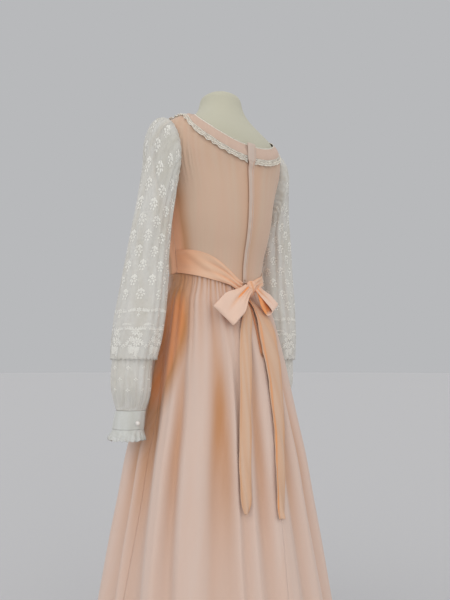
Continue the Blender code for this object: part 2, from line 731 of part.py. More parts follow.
def sleeves():
    for name, side in (("left", 1), ("right", -1)):
        upper = [armhole_ring] + [table_ring(row) for row in UPPER_SLEEVE]
        folds = [SLEEVE_FOLD * f for f in UPPER_SLEEVE_FOLDS]
        sleeve_tube(f"sleeve_upper_{name}", side, upper, folds, NET, NET_FINISH, SLEEVE_COLUMNS,
                    SLEEVE_LACE_DROP)

        seam_row = UPPER_SLEEVE[-2]
        seam_step = NET + SEAM_GAP + 0.0001

        def hidden_top(turn, out):
            return sleeve_ring(seam_row, turn, out - seam_step)

        lower = [hidden_top] + [table_ring(row) for row in LOWER_SLEEVE]
        folds = [SLEEVE_FOLD * f for f in LOWER_SLEEVE_FOLDS]
        sleeve_tube(f"sleeve_lower_{name}", side, lower, folds, NET, NET_FINISH, SLEEVE_COLUMNS)

        rings = [table_ring(row) for row in CUFF]
        sleeve_tube(f"cuff_{name}", side, rings, [0.0] * 3, NET, LACE_FINISH, SLEEVE_COLUMNS)
        rings = [table_ring(row) for row in CUFF_LACE]
        sleeve_tube(f"cuff_ruffle_{name}", side, rings, [0.0, 0.0022, 0.0040], LACE, LACE_FINISH,
                    2 * CUFF_WAVES, CUFF_LACE_DROP)
        pearl_button(f"pearl_button_{name}", side)


def pearl_button(name, side):
    """A shanked half-round pearl on the back of the cuff."""
    row = CUFF[1]
    seat = sleeve_ring(row, BUTTON_TURN, 0.0)
    centre = Vector((seat.x, seat.y + BUTTON_RADIUS * BUTTON_FLATNESS + SEAM_GAP, seat.z - BUTTON_DROP))
    bm = bmesh.new()
    bmesh.ops.create_uvsphere(bm, u_segments=12, v_segments=7, radius=BUTTON_RADIUS)
    for vert in bm.verts:
        vert.co.y *= BUTTON_FLATNESS
        vert.co += centre
        vert.co.x *= side
    if side < 0:
        bmesh.ops.reverse_faces(bm, faces=bm.faces)
    add_object(name, bm, PEARL_FINISH)


def sash_row(rows, angle):
    """Top and bottom of a sash half at an angle from its side seam."""
    for low, high in zip(rows, rows[1:]):
        if angle <= high.angle:
            t = (angle - low.angle) / (high.angle - low.angle)
            return mix(low.top_z, high.top_z, t), mix(low.bottom_z, high.bottom_z, t)
    return rows[-1].top_z, rows[-1].bottom_z


def sash():
    """Each half lies round the back and narrows in soft pleats to the knot."""
    for name, side, rows, end_angle, end_rise in SASH_HALVES:
        inner = []
        outer = []
        for i in range(SASH_STEPS + 1):
            gathered = i / SASH_STEPS
            angle = mix(rows[0].angle, end_angle, gathered)
            top_z, bottom_z = sash_row(rows, angle)
            way = body_normal(angle, waist_seam(angle))
            inner_row = []
            outer_row = []
            for k in range(2 * SASH_PLEATS + 1):
                z = mix(bottom_z, top_z, k / (2 * SASH_PLEATS))
                bodice_side = off_body(angle, max(z, waist_seam(angle)), 0.0)
                bodice_side += way * (bodice_out(z) + CHIFFON + GATHER_DEPTH * ramp(z, 1.10, 1.33))
                skirt_side = skirt_point(angle, min(z, waist_seam(angle)), SKIRT_WALL, SKIRT_GATHER)
                if skirt_side.xy.length > bodice_side.xy.length and z < waist_seam(angle) + 0.012:
                    bodice_side = Vector((skirt_side.x, skirt_side.y, z))
                bodice_side.z = z
                pleat = SASH_PLEAT_DEPTH * ramp(gathered, 0.25, 1.0) * (k % 2)
                over_seam = SASH_SEAM_LIFT * ramp(waist_seam(angle) - z, -0.004, 0.006)
                rise = SASH_CLEARANCE + pleat + over_seam + end_rise * ramp(gathered, 0.8, 1.0)
                inner_row.append(mirrored(bodice_side + way * rise, side))
                outer_row.append(mirrored(bodice_side + way * (rise + CHIFFON), side))
            inner.append(inner_row)
            outer.append(outer_row)
        grid_wall(name, inner, outer, SASH_FINISH)


def bow_knot():
    """A short tight wrap of sash cloth, tipped to the wearer's left."""
    around = 14
    levels = 7
    bm = bmesh.new()
    rings = []
    for i in range(levels):
        v = -1 + 2 * i / (levels - 1)
        ring = []
        bulge = math.sqrt(1 - 0.45 * v * v)
        for c in range(around):
            t = 2 * math.pi * c / around
            crease = 1 - 0.07 * (c % 3 == 0)
            local = Vector((math.cos(t) * KNOT_HALF.x * bulge * crease,
                            math.sin(t) * KNOT_HALF.y * bulge * crease, v * KNOT_HALF.z))
            tipped = Vector((local.x * math.cos(KNOT_TILT) + local.z * math.sin(KNOT_TILT), local.y,
                             local.z * math.cos(KNOT_TILT) - local.x * math.sin(KNOT_TILT)))
            ring.append(bm.verts.new(KNOT_CENTRE + tipped))
        rings.append(ring)
    for low, high in zip(rings, rings[1:]):
        for c in range(around):
            d = (c + 1) % around
            bm.faces.new([low[c], low[d], high[d], high[c]])
    bm.faces.new(list(reversed(rings[0])))
    bm.faces.new(rings[-1])
    add_object("bow_knot", bm, SASH_FINISH)


def ribbon(name, centres, widths, outs, cup):
    """A strip along centres; widths and outs are vectors at each, cup bows it."""
    inner = []
    outer = []
    for centre, width, out in zip(centres, widths, outs):
        inner_row = []
        outer_row = []
        for k in range(RIBBON_COLUMNS + 1):
            v = -1 + 2 * k / RIBBON_COLUMNS
            point = centre + width * v + out * cup * (1 - v * v)
            inner_row.append(point)
            outer_row.append(point + out * CHIFFON)
        inner.append(inner_row)
        outer.append(outer_row)
    grid_wall(name, inner, outer, SASH_FINISH)


def bow_loop(name, loop):
    """A loop of ribbon: out from the knot, round a soft fold and back beneath."""
    length = loop.fall.length
    along = loop.fall / length
    a = math.radians(loop.facing)
    face = Vector((math.cos(a), math.sin(a), 0.15))
    face = (face - along * face.dot(along)).normalized()
    across = along.cross(face).normalized()
    root = KNOT_CENTRE + loop.root
    centres = []
    widths = []
    for i in range(LOOP_STEPS + 1):
        t = i / LOOP_STEPS
        from_end = min(t, 1 - t)
        turn = math.pi * ramp(t, 0.34, 0.66)
        reach = length * (1 - abs(2 * t - 1) ** 1.6)
        layer = loop.spread * (math.cos(turn) * mix(0.35, 1.0, ramp(from_end, 0.0, 0.4)) + 1)
        centres.append(root + along * reach + face * layer)
        half = mix(LOOP_ROOT_HALF_WIDTH, loop.half_width, ramp(from_end, 0.0, 0.32))
        widths.append(across * half)
    outs = []
    for i in range(LOOP_STEPS + 1):
        ahead = centres[min(i + 1, LOOP_STEPS)] - centres[max(i - 1, 0)]
        outs.append(ahead.cross(across).normalized())
    if outs[1].dot(face) < 0:
        outs = [out * -1 for out in outs]
    ribbon(name, centres, widths, outs, 0.0)


def bow_tail(name, rows):
    centres = []
    widths = []
    outs = []
    for row in rows:
        clear = SKIRT_WALL + TAIL_CLEARANCE + row.lift + skirt_depth(row.angle, row.z)
        centres.append(skirt_point(row.angle, row.z, clear))
        a = math.radians(row.facing)
        outs.append(Vector((math.cos(a), math.sin(a), 0.12)).normalized())
        widths.append(Vector((-math.sin(a), math.cos(a), 0.0)) * row.half_width)
    ribbon(name, centres, widths, outs, TAIL_BOW)


def bow():
    bow_knot()
    bow_loop("bow_loop_left", LEFT_LOOP)
    bow_loop("bow_loop_right", RIGHT_LOOP)
    bow_tail("bow_tail_left", LEFT_TAIL)
    bow_tail("bow_tail_right", RIGHT_TAIL)


def dress_form():
    """Torso and neck in one smooth closed body with a rounded cap."""
    rounded_edge = {0: 0.016, 1: 0.006}
    bm = bmesh.new()
    rings = []
    for i, z in enumerate(FORM_LEVELS):
        under_cloth = SHOULDER_EXTRA * ramp(z, 1.30, 1.35) * (1 - ramp(z, 1.395, 1.41))
        inset = rounded_edge.get(i, 0.0) + under_cloth
        rings.append([off_body(360 * c / FORM_COLUMNS, z, -inset) for c in range(FORM_COLUMNS)])
    for below, shrink in ((0.012, 0.0), (0.004, 0.0035), (0.0, 0.010)):
        z = NECK_TOP_Z - below
        rings.append([off_body(360 * c / FORM_COLUMNS, z, -shrink) for c in range(FORM_COLUMNS)])
    for flat_ring, z in ((rings[0], FORM_BOTTOM_Z), (rings[-1], NECK_TOP_Z)):
        for point in flat_ring:
            point.z = z
    made = [[bm.verts.new(p) for p in ring] for ring in rings]
    for low, high in zip(made, made[1:]):
        for c in range(FORM_COLUMNS):
            d = (c + 1) % FORM_COLUMNS
            bm.faces.new([low[c], low[d], high[d], high[c]])
    bm.faces.new(list(reversed(made[0])))
    bm.faces.new(made[-1])
    add_object("form_torso", bm, FORM_FINISH)


def turned(name, profile, columns, finish):
    """A solid turned about the upright axis from (radius, z) pairs, bottom up."""
    bm = bmesh.new()
    rings = []
    for radius, z in profile:
        ring = []
        for c in range(columns):
            t = 2 * math.pi * c / columns
            ring.append(bm.verts.new((radius * math.cos(t), radius * math.sin(t), z)))
        rings.append(ring)
    for low, high in zip(rings, rings[1:]):
        for c in range(columns):
            d = (c + 1) % columns
            bm.faces.new([low[c], low[d], high[d], high[c]])
    bm.faces.new(list(reversed(rings[0])))
    bm.faces.new(rings[-1])
    add_object(name, bm, finish)


def stand():
    foot = [(BASE_RADIUS - 0.003, 0.0), (BASE_RADIUS, 0.003), (BASE_RADIUS - 0.002, 0.009),
            (0.060, BASE_HEIGHT - 0.004), (0.030, BASE_HEIGHT)]
    turned("stand_base", foot, 40, METAL_FINISH)
    pole = [(POLE_RADIUS, BASE_HEIGHT + SEAM_GAP), (POLE_RADIUS, FORM_BOTTOM_Z - SEAM_GAP)]
    turned("stand_pole", pole, 16, METAL_FINISH)


bodice()
neck_trim()
zip_strip()
skirt()
sleeves()
sash()
bow()
dress_form()
stand()
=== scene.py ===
# %% [markdown]
# # A prairie maxi dress on a dress form
#
# The real thing is a long dress of peach crepe chiffon over a lining of the same colour. It has
# sheer ivory sleeves with embroidered sprigs, a narrow neckband edged with lace, a lapped back
# zip and a sash tied in a bow. It stands on a limbless form with a round foot.
#
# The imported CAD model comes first. It fixes where every piece is, so each cloth below is made
# over the same curves and then takes the place of its plain CAD solid.

import math
from collections import namedtuple

import bpy
import numpy as np
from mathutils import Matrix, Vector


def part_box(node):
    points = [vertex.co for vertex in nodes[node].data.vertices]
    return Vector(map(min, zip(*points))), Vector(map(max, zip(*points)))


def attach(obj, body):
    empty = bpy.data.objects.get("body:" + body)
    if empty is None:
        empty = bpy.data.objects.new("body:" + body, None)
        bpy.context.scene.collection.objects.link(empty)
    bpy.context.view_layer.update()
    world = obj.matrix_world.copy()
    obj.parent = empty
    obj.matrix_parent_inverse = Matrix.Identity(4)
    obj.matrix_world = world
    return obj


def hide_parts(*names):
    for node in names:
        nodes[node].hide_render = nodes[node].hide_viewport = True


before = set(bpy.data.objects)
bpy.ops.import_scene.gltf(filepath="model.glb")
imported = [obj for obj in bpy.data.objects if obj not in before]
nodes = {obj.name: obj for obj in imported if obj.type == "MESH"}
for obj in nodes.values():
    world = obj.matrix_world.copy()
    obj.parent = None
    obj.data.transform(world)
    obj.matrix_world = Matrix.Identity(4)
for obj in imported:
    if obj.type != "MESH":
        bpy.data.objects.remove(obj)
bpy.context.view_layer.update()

# %% [markdown]
# ## Colours and shader nodes
#
# Colours are written as the sRGB hex values that an eye compares with cloth, and one function
# turns them to the linear values that shaders take. One more function adds a shader node with
# its settings and links, so a material reads as a short recipe.

# %% Colour and node helpers
MIX_A = 6
MIX_B = 7
MIX_RESULT = 2


def linear(hex_colour):
    """The linear colour that a shader takes for an sRGB hex value."""
    values = [int(hex_colour[i:i + 2], 16) / 255 for i in (1, 3, 5)]
    return tuple(v / 12.92 if v <= 0.04045 else ((v + 0.055) / 1.055) ** 2.4 for v in values)


def new_material(name):
    """A material that uses shader nodes."""
    made = bpy.data.materials.new(name)
    made.use_nodes = True
    return made


def fill_socket(material, socket, value):
    """Links a socket to another node's output, or gives it a hex colour or a value."""
    if isinstance(value, bpy.types.NodeSocket):
        material.node_tree.links.new(value, socket)
    elif isinstance(value, str):
        socket.default_value = (*linear(value), 1.0)
    else:
        socket.default_value = value


def add_node(material, kind, inputs=None, **settings):
    """Adds a shader node; inputs hold values or other nodes' outputs."""
    made = material.node_tree.nodes.new(kind)
    for name, value in settings.items():
        setattr(made, name, value)
    for name, value in (inputs or {}).items():
        fill_socket(material, made.inputs[name], value)
    return made


def set_shader(material, **values):
    """Sets or links inputs of the material's Principled shader; _ stands for a space."""
    shader = material.node_tree.nodes["Principled BSDF"]
    for name, value in values.items():
        fill_socket(material, shader.inputs[name.replace("_", " ")], value)


def blend_colours(material, factor, first, second, kind="MIX"):
    """The output of a colour Mix node; its A, B and Result sockets share names with others."""
    made = add_node(material, "ShaderNodeMix", {0: factor, MIX_A: first, MIX_B: second},
                    data_type="RGBA", blend_type=kind)
    return made.outputs[MIX_RESULT]


print("mid grey #808080 is", round(linear("#808080")[0], 3), "in linear light")

# %% Two patterns that several finishes share


def long_patches(material, uv, per_metre, detail, low, high, most=1.0):
    """Soft patches drawn out along the cloth, counted per metre across and along it."""
    drawn = add_node(material, "ShaderNodeMapping", {"Vector": uv, "Scale": (*per_metre, 1.0)})
    noise = add_node(material, "ShaderNodeTexNoise",
                     {"Vector": drawn.outputs["Vector"], "Scale": 1.0, "Detail": detail})
    patches = add_node(material, "ShaderNodeMapRange",
                       {"Value": noise.outputs["Fac"], "From Min": low, "From Max": high,
                        "To Max": most})
    return patches.outputs["Result"]


def raised_grain(material, place, per_metre, detail, strength, height):
    """The value and the normal of a fine raised grain from noise."""
    noise = add_node(material, "ShaderNodeTexNoise",
                     {"Vector": place, "Scale": per_metre, "Detail": detail}).outputs["Fac"]
    bump = add_node(material, "ShaderNodeBump",
                    {"Height": noise, "Strength": strength, "Distance": height})
    return noise, bump.outputs["Normal"]


# %% [markdown]
# ## Crepe chiffon
#
# Polyester crepe chiffon is woven from hard-twisted yarns, about 0.3 mm apart, which pucker the
# cloth into a fine pebbled grain. It is sheer, so two layers look denser and warmer where they
# pile up in a fold; here that warmth and the shade in folds are painted into its colour. The grain
# is a bump from noise; 0.3 mm threads are too fine for this frame, so they are drawn at 0.9 mm.
# Each point of a cloth keeps a value of painted shading, which picks its tone: the crest colour
# at 0, the painted fold shade at 0.7, and at 1 the deep colour, which is painted shade deep in
# folds and in the back slit, and painted light where the sleeve shades the bodice and skirt.

# %% Crepe chiffon
FOLD_SHADE_AT = 0.7
THREADS_PER_METRE = 1100.0
PUCKERS_PER_METRE = 420.0
STREAKS_PER_METRE = (42.0, 5.0)


def crepe_chiffon(name, slot, crest, painted_shading, deep, warm):
    """Sheer pebbled cloth: crest colour, painted fold shade, a deep colour of painted deep shade and
    painted light, and warm long soft streaks.
    """
    made = new_material(name)
    uv = add_node(made, "ShaderNodeUVMap").outputs["UV"]
    depth = add_node(made, "ShaderNodeAttribute", attribute_name="painted_shading").outputs["Fac"]
    # Painted shading: the fold colour is painted shade, full at 0.7; above 0.7 the deep colour is
    # painted deep shade, and painted light in the sleeve's shadow
    shaded = add_node(made, "ShaderNodeMapRange", {"Value": depth, "From Max": FOLD_SHADE_AT})
    deep_shade_and_lift = add_node(made, "ShaderNodeMapRange", {"Value": depth, "From Min": FOLD_SHADE_AT})
    streaks = long_patches(made, uv, STREAKS_PER_METRE, 3.0, 0.40, 0.70, 0.35)
    colour = blend_colours(made, shaded.outputs["Result"], crest, painted_shading)
    colour = blend_colours(made, deep_shade_and_lift.outputs["Result"], colour, deep)
    colour = blend_colours(made, streaks, colour, warm)
    threads = add_node(made, "ShaderNodeTexNoise",
                       {"Vector": uv, "Scale": THREADS_PER_METRE, "Detail": 1.0})
    thread_tone = add_node(made, "ShaderNodeMapRange",
                           {"Value": threads.outputs["Fac"], "From Min": 0.3, "From Max": 0.7,
                            "To Min": 0.96, "To Max": 1.03})
    colour = blend_colours(made, 1.0, colour, thread_tone.outputs["Result"], "MULTIPLY")
    pebbled = raised_grain(made, uv, PUCKERS_PER_METRE, 3.0, 0.22, 0.0006)[1]
    set_shader(made, Base_Color=colour, Roughness=0.85, Normal=pebbled,
               Sheen_Weight=0.25, Sheen_Roughness=0.45, Specular_IOR_Level=0.25)
    return made


# Slot, then crest, painted fold shade, deep colour (painted deep shade and painted light) and
# streaks.
# The bow catches more light, so its colours are lighter: a painted highlight
CHIFFON_TONES = {
    "bodice": ("bodice_chiffon", "#CEB6A2", "#CC9870", "#F9BE98", "#D3AC97"),
    "skirt": ("skirt_chiffon", "#D3BDB1", "#BD8658", "#F29A62", "#D4B4A2"),
    "bands": ("bodice_chiffon", "#CCBEB3", "#D0A080", "#E0A070", "#D0B8AC"),
    "sash": ("sash_chiffon", "#DDBDA3", "#E9AB84", "#F0A678", "#E0BBA3"),
    "bow": ("sash_chiffon", "#E5C7B5", "#DDA070", "#F59A52", "#E3C2AE"),
    "tails": ("sash_chiffon", "#D0B8A4", "#CF9F7A", "#E09A66", "#D2B29C"),
}
chiffon = {}
for part, tones in CHIFFON_TONES.items():
    chiffon[part] = crepe_chiffon(f"crepe chiffon, woven, {part}", *tones)
    print("chiffon:", chiffon[part].name)

# %% [markdown]
# ## Sleeve net, lace and thread
#
# Tulle-like net is a knitted mesh of about 1 mm holes, so the eye sees what is behind it through a
# pale veil. Its holes are too fine for this frame: the veil is one Alpha value with a fine uneven
# weave. Lace is denser, with drawn holes of 2 to 3 mm that do show. Embroidery floss and sewing
# thread are twisted yarns, whose turns give a line of small glints.

# %% Sleeve net


def sheer_net(name, colour, warm, cover):
    """Net that hides a share of what is behind it, a little more on its threads."""
    made = new_material(name)
    uv = add_node(made, "ShaderNodeUVMap").outputs["UV"]
    tone = blend_colours(made, long_patches(made, uv, (34.0, 9.0), 2.0, 0.40, 0.65), colour, warm)
    holes = add_node(made, "ShaderNodeTexVoronoi", {"Vector": uv, "Scale": 900.0},
                     feature="DISTANCE_TO_EDGE")
    thread = add_node(made, "ShaderNodeMapRange",
                      {"Value": holes.outputs["Distance"], "From Min": 0.04, "From Max": 0.35,
                       "To Min": cover + 0.08, "To Max": cover - 0.05})
    set_shader(made, Base_Color=tone, Alpha=thread.outputs["Result"], Roughness=0.8,
               Sheen_Weight=0.35, Sheen_Roughness=0.4, Specular_IOR_Level=0.2)
    return made


SLEEVE_NET = sheer_net("nylon net, knitted", "#EAEAE6", "#E2E0D8", 0.46)
CUFF_NET = sheer_net("nylon net, knitted, doubled", "#DFE2E0", "#D6D8D3", 0.64)
print("nets:", SLEEVE_NET.name, "|", CUFF_NET.name)

# %% Lace and embroidery thread


def openwork_lace(name, colour):
    """Lace whose threads stand up round small open holes."""
    made = new_material(name)
    uv = add_node(made, "ShaderNodeUVMap").outputs["UV"]
    holes = add_node(made, "ShaderNodeTexVoronoi",
                     {"Vector": uv, "Scale": 380.0, "Randomness": 0.55}, feature="DISTANCE_TO_EDGE")
    thread = add_node(made, "ShaderNodeMapRange",
                      {"Value": holes.outputs["Distance"], "From Min": 0.05, "From Max": 0.22,
                       "To Min": 0.80, "To Max": 0.10})
    bump = add_node(made, "ShaderNodeBump",
                    {"Height": thread.outputs["Result"], "Strength": 0.5, "Distance": 0.0005})
    set_shader(made, Base_Color=colour, Alpha=thread.outputs["Result"], Roughness=0.85,
               Normal=bump.outputs["Normal"], Sheen_Weight=0.3, Specular_IOR_Level=0.2)
    return made


def twisted_thread(name, colour, roughness):
    """Yarn with a turn of its twist about every 0.7 mm."""
    made = new_material(name)
    place = add_node(made, "ShaderNodeTexCoord").outputs["Object"]
    twist, normal = raised_grain(made, place, 1500.0, 2.0, 0.3, 0.0003)
    tone = blend_colours(made, twist, colour, "#FFFFFF", "MULTIPLY")
    set_shader(made, Base_Color=tone, Roughness=roughness, Normal=normal,
               Sheen_Weight=0.4, Specular_IOR_Level=0.35)
    return made


NECK_LACE = openwork_lace("cotton lace, machine made", "#ECE8DC")
WHITE_FLOSS = twisted_thread("rayon floss, embroidered", "#E0E0DA", 0.60)
IVORY_CORD = twisted_thread("cotton cord, lace edge", "#F4F0E6", 0.75)
PEACH_THREAD = twisted_thread("polyester thread, sewn", "#D79F77", 0.6)
print("threads:", WHITE_FLOSS.name, "|", IVORY_CORD.name, "|", PEACH_THREAD.name)

# %% [markdown]
# ## Jersey, pearl and painted steel
#
# The form's cover, the buttons and the stand are each one material whose tone wanders slightly.
# Knit and paint also have a fine raised grain, so one function makes all three from a few values.

# %% Jersey, pearl and painted steel


def mottled_finish(name, slot, drift, tones, grain=None, worn=None, **shader):
    """A finish that drifts between two tones; worn gives its roughness from low to high."""
    made = new_material(name)
    place = add_node(made, "ShaderNodeTexCoord").outputs["Object"]
    noise = add_node(made, "ShaderNodeTexNoise",
                     {"Vector": place, "Scale": drift[0], "Detail": drift[1]}).outputs["Fac"]
    shader["Base_Color"] = blend_colours(made, noise, *tones)
    if grain:
        shader["Normal"] = raised_grain(made, place, *grain)[1]
    if worn:
        rough = add_node(made, "ShaderNodeMapRange",
                         {"Value": noise, "To Min": worn[0], "To Max": worn[1]})
        shader["Roughness"] = rough.outputs["Result"]
    set_shader(made, **shader)
    return made


# Fine knit stretched over the torso: its 0.6 mm ribs are too fine to show, so they are 1.1 mm
JERSEY = mottled_finish("cotton jersey, knitted", "form_cover", (9.0, 2.0),
                        ("#C3C2B2", "#BDBCA8"), grain=(900.0, 2.0, 0.15, 0.0004),
                        Roughness=0.75, Sheen_Weight=0.15, Specular_IOR_Level=0.3)
# Cast plastic with a pearl lacquer: a soft sheen under a clear gloss
PEARL = mottled_finish("acrylic, cast, pearl lacquered", "pearl", (260.0, 1.0),
                       ("#F1EDE4", "#D8D6D6"), Roughness=0.22, Coat_Weight=0.6, Coat_Roughness=0.08)
# Steel under a baked powder paint, whose film has a faint 1.4 mm orange peel and dull worn areas
PAINTED_STEEL = mottled_finish("steel, powder coated", "stand_metal", (18.0, 4.0),
                               ("#CDCBBB", "#C3C1AE"), grain=(700.0, 1.0, 0.2, 0.0003),
                               worn=(0.35, 0.55))
print("form and hard finishes:", JERSEY.name, "|", PEARL.name, "|", PAINTED_STEEL.name)

# %% [markdown]
# ## Studio
#
# A plain pale floor and soft even light, with a little more from the side that the left sleeve
# is on. Wide suns keep the floor one tone all the way back, like a paper sweep.

# %% Studio
Sun = namedtuple("Sun", "name azimuth elevation strength spread colour")
SUNS = [
    Sun("key", 112, 36, 0.84, 55, "#FFFBF6"),
    Sun("fill", 200, 24, 0.75, 80, "#FFF8F0"),
    Sun("lift", 150, 8, 0.44, 35, "#FFF8F2"),
    Sun("side", 55, 24, 0.45, 80, "#FFFAF6"),
]
FLOOR_RADIUS = 40.0


def add_sun(sun):
    light = bpy.data.lights.new(sun.name, "SUN")
    light.energy = sun.strength
    light.angle = math.radians(sun.spread)
    light.color = linear(sun.colour)
    lamp = bpy.data.objects.new(sun.name, light)
    lamp.rotation_euler = (math.radians(90 - sun.elevation), 0, math.radians(sun.azimuth))
    bpy.context.scene.collection.objects.link(lamp)


def paper_floor():
    """Matt paper, which is dull all over and only faintly mottled."""
    paper = new_material("paper, matt")
    place = add_node(paper, "ShaderNodeTexCoord").outputs["Object"]
    grain = add_node(paper, "ShaderNodeTexNoise", {"Vector": place, "Scale": 60.0})
    tone = blend_colours(paper, grain.outputs["Fac"], "#CDCED1", "#D0D1D3")
    set_shader(paper, Base_Color=tone, Roughness=1.0, Specular_IOR_Level=0.0)
    bpy.ops.object.select_all(action="DESELECT")
    bpy.ops.mesh.primitive_circle_add(vertices=96, radius=FLOOR_RADIUS, fill_type="NGON")
    floor = bpy.context.object
    floor.name = "floor"
    floor.data.materials.append(paper)


def studio():
    world = bpy.data.worlds.new("studio air")
    bpy.context.scene.world = world
    world.use_nodes = True
    background = world.node_tree.nodes["Background"]
    background.inputs["Color"].default_value = (*linear("#B8B9BB"), 1.0)
    for sun in SUNS:
        add_sun(sun)
    paper_floor()
    bpy.context.scene.view_settings.view_transform = "Standard"


studio()

# %% Camera
CAMERA_AZIMUTH = 139.0
CAMERA_DISTANCE = 1.40
CAMERA_HEIGHT = 0.86
PHOTO_WIDTH = 450
PHOTO_HEIGHT = 600
FOCAL_PIXELS = 583
AXIS_COLUMN = 215
HORIZON_ROW = 360


def place_camera():
    """A level camera whose shift puts the axis and the horizon where the frame has them."""
    data = bpy.data.cameras.new("camera")
    data.lens = FOCAL_PIXELS / PHOTO_HEIGHT * data.sensor_width
    data.shift_x = (PHOTO_WIDTH / 2 - AXIS_COLUMN) / PHOTO_HEIGHT
    data.shift_y = (HORIZON_ROW - PHOTO_HEIGHT / 2) / PHOTO_HEIGHT
    camera = bpy.data.objects.new("camera", data)
    turn = math.radians(CAMERA_AZIMUTH)
    camera.location = (math.sin(turn) * CAMERA_DISTANCE, -math.cos(turn) * CAMERA_DISTANCE,
                       CAMERA_HEIGHT)
    camera.rotation_euler = (math.pi / 2, 0, turn)
    bpy.context.scene.collection.objects.link(camera)
    bpy.context.scene.camera = camera
    print(f"camera lens {data.lens:.1f} mm")


place_camera()

# %% [markdown]
# ## Folds in numbers
#
# Gathered cloth could be simulated, but the folds of this dress have known places. So each fold is
# a height off a smooth surface, written as a sum of soft steps, humps and uneven waves. Their
# numbers say where it starts, is full and ends: metres up or down, or degrees round the body.
# All of it works on whole grids of numbers at once, so a fine cloth is written just as fast.

# %% Soft steps and smooth curves


def ramp(value, low, high):
    """0 below low, 1 above high, with a soft start and end."""
    t = np.clip((np.asarray(value, float) - low) / (high - low), 0.0, 1.0)
    return t * t * (3 - 2 * t)


def between(value, start, full, fade, end):
    """0 outside start and end and 1 from full to fade, with soft slopes."""
    return ramp(value, start, full) * (1 - ramp(value, fade, end))


def hump(value, middle, width):
    """1 at the middle, falling away softly over about a width on both sides."""
    return np.exp(-((value - middle) / width) ** 2)


def mix(a, b, t):
    return a + (b - a) * t


def smooth_curve(stops, values, slopes, want):
    """Values at the wanted places, along a curve that keeps its slope at each stop."""
    k = np.clip(np.searchsorted(stops, want, side="right") - 1, 0, len(stops) - 2)
    shape = np.shape(want) + (1,) * (values.ndim - 1)
    span = (stops[k + 1] - stops[k]).reshape(shape)
    t = (want - stops[k]).reshape(shape) / span
    return (values[k] * (2 * t**3 - 3 * t**2 + 1) + values[k + 1] * (3 * t**2 - 2 * t**3)
            + slopes[k] * span * (t**3 - 2 * t**2 + t) + slopes[k + 1] * span * (t**3 - t**2))


def smooth_read(table, column, z):
    """A table's column at heights z, along a smooth curve through its rows."""
    heights = np.array([row.z for row in table])
    values = np.array([getattr(row, column) for row in table])
    before = np.concatenate([[0], np.arange(len(values) - 1)])
    after = np.concatenate([np.arange(1, len(values)), [len(values) - 1]])
    slopes = (values[after] - values[before]) / (heights[after] - heights[before])
    return smooth_curve(heights, values, slopes, np.clip(z, heights[0], heights[-1]))


def uneven_wave(turns, seed):
    """A wave from -1 to 1 whose crests are never quite evenly spaced; turns counts them."""
    a = 2 * np.pi * np.asarray(turns, float)
    drift = 1.1 * np.sin(0.173 * a + seed) + 0.8 * np.sin(0.311 * a + 2.1 * seed)
    return np.cos(a + drift + 0.6 * np.sin(0.537 * a + 0.7 * seed))


def gathers(turns, seed):
    """Gathered cloth seen end on: round crests at 1 and tighter valleys at 0."""
    height = 0.5 + 0.5 * uneven_wave(turns, seed)
    return 0.5 * height + 0.5 * np.sqrt(np.clip(height, 0, 1))


# Gathers of one kind: degrees from crest to crest, where their pattern starts, and their height
Gathering = namedtuple("Gathering", "spacing seed height")


def crests(kind, angle):
    return gathers(angle / kind.spacing, kind.seed)


print("gathers over one turn:", np.round(gathers(np.linspace(0, 1, 5), 0.0), 2))

# %% [markdown]
# ## The body under the cloth
#
# Every cloth here is measured from the torso, as a dressmaker pins it on the form. These are the
# torso's widths at each height, the same as in the CAD source, read along smooth curves. Angles go
# round the body: 0 is the wearer's left side, 90 the centre back.

# %% Tables of rows


def rows_of(kind, *rows):
    return [kind(*row) for row in rows]


def in_mm(kind, *rows):
    """Rows that are written in millimetres and kept in metres."""
    return [kind(*(value / 1000 for value in row)) for row in rows]


# %% Torso table
HEM_Z = 0.040
WAIST_Z_SIDE, WAIST_Z_BACK, WAIST_Z_FRONT = 1.057, 1.030, 1.050
NECK_Z_LEFT, NECK_Z_RIGHT, NECK_Z_BACK, NECK_Z_FRONT = 1.410, 1.403, 1.341, 1.325
NECKBAND_WIDTH = 0.027
NECKBAND_LAP = 0.004
TORSO_SQUARENESS = 2.2
SKIRT_SQUARENESS = 2.0
# How far cloth lies off the form, and the CAD walls whose outer faces these cloths follow
FORM_CLEARANCE = 0.0011
CHIFFON_WALL = 0.0012
SKIRT_WALL = 0.0016
# One step out from a layer to the layer that is lapped over it
LAP = 0.0006

BodyRow = namedtuple("BodyRow", "z half_width side_y front_y back_y")
BODY = in_mm(BodyRow,
    (845, 137, 4, -96, 110), (900, 138, 4, -97, 112), (970, 125, 3, -88, 107),
    (1020, 112, 1, -89, 99), (1060, 111, 0, -88, 98), (1100, 115, 0, -92, 103),
    (1140, 122, 2, -95, 110), (1180, 131.5, 2, -104, 115), (1220, 138.5, 3, -107, 117),
    (1250, 145.5, 5, -103, 118), (1290, 159, 8, -93, 118.5), (1320, 165, 12, -85, 118),
    (1350, 164, 16, -76, 115), (1372, 157, 19, -67, 109), (1386, 146.5, 20, -59, 103),
    (1397, 125, 20, -52, 96), (1408, 101, 20, -44, 89), (1418, 83, 20, -38, 83),
    (1430, 66.5, 20, -33, 76), (1446, 54, 20, -31, 71), (1462, 49, 20, -29, 68),
    (1482, 47, 19, -28, 66))
print(len(BODY), "torso rows, from", BODY[0].z, "to", BODY[-1].z, "m")

# %% Points on and off the torso
DOWN_STEPS = 24
SHORT_WAY = 0.0005


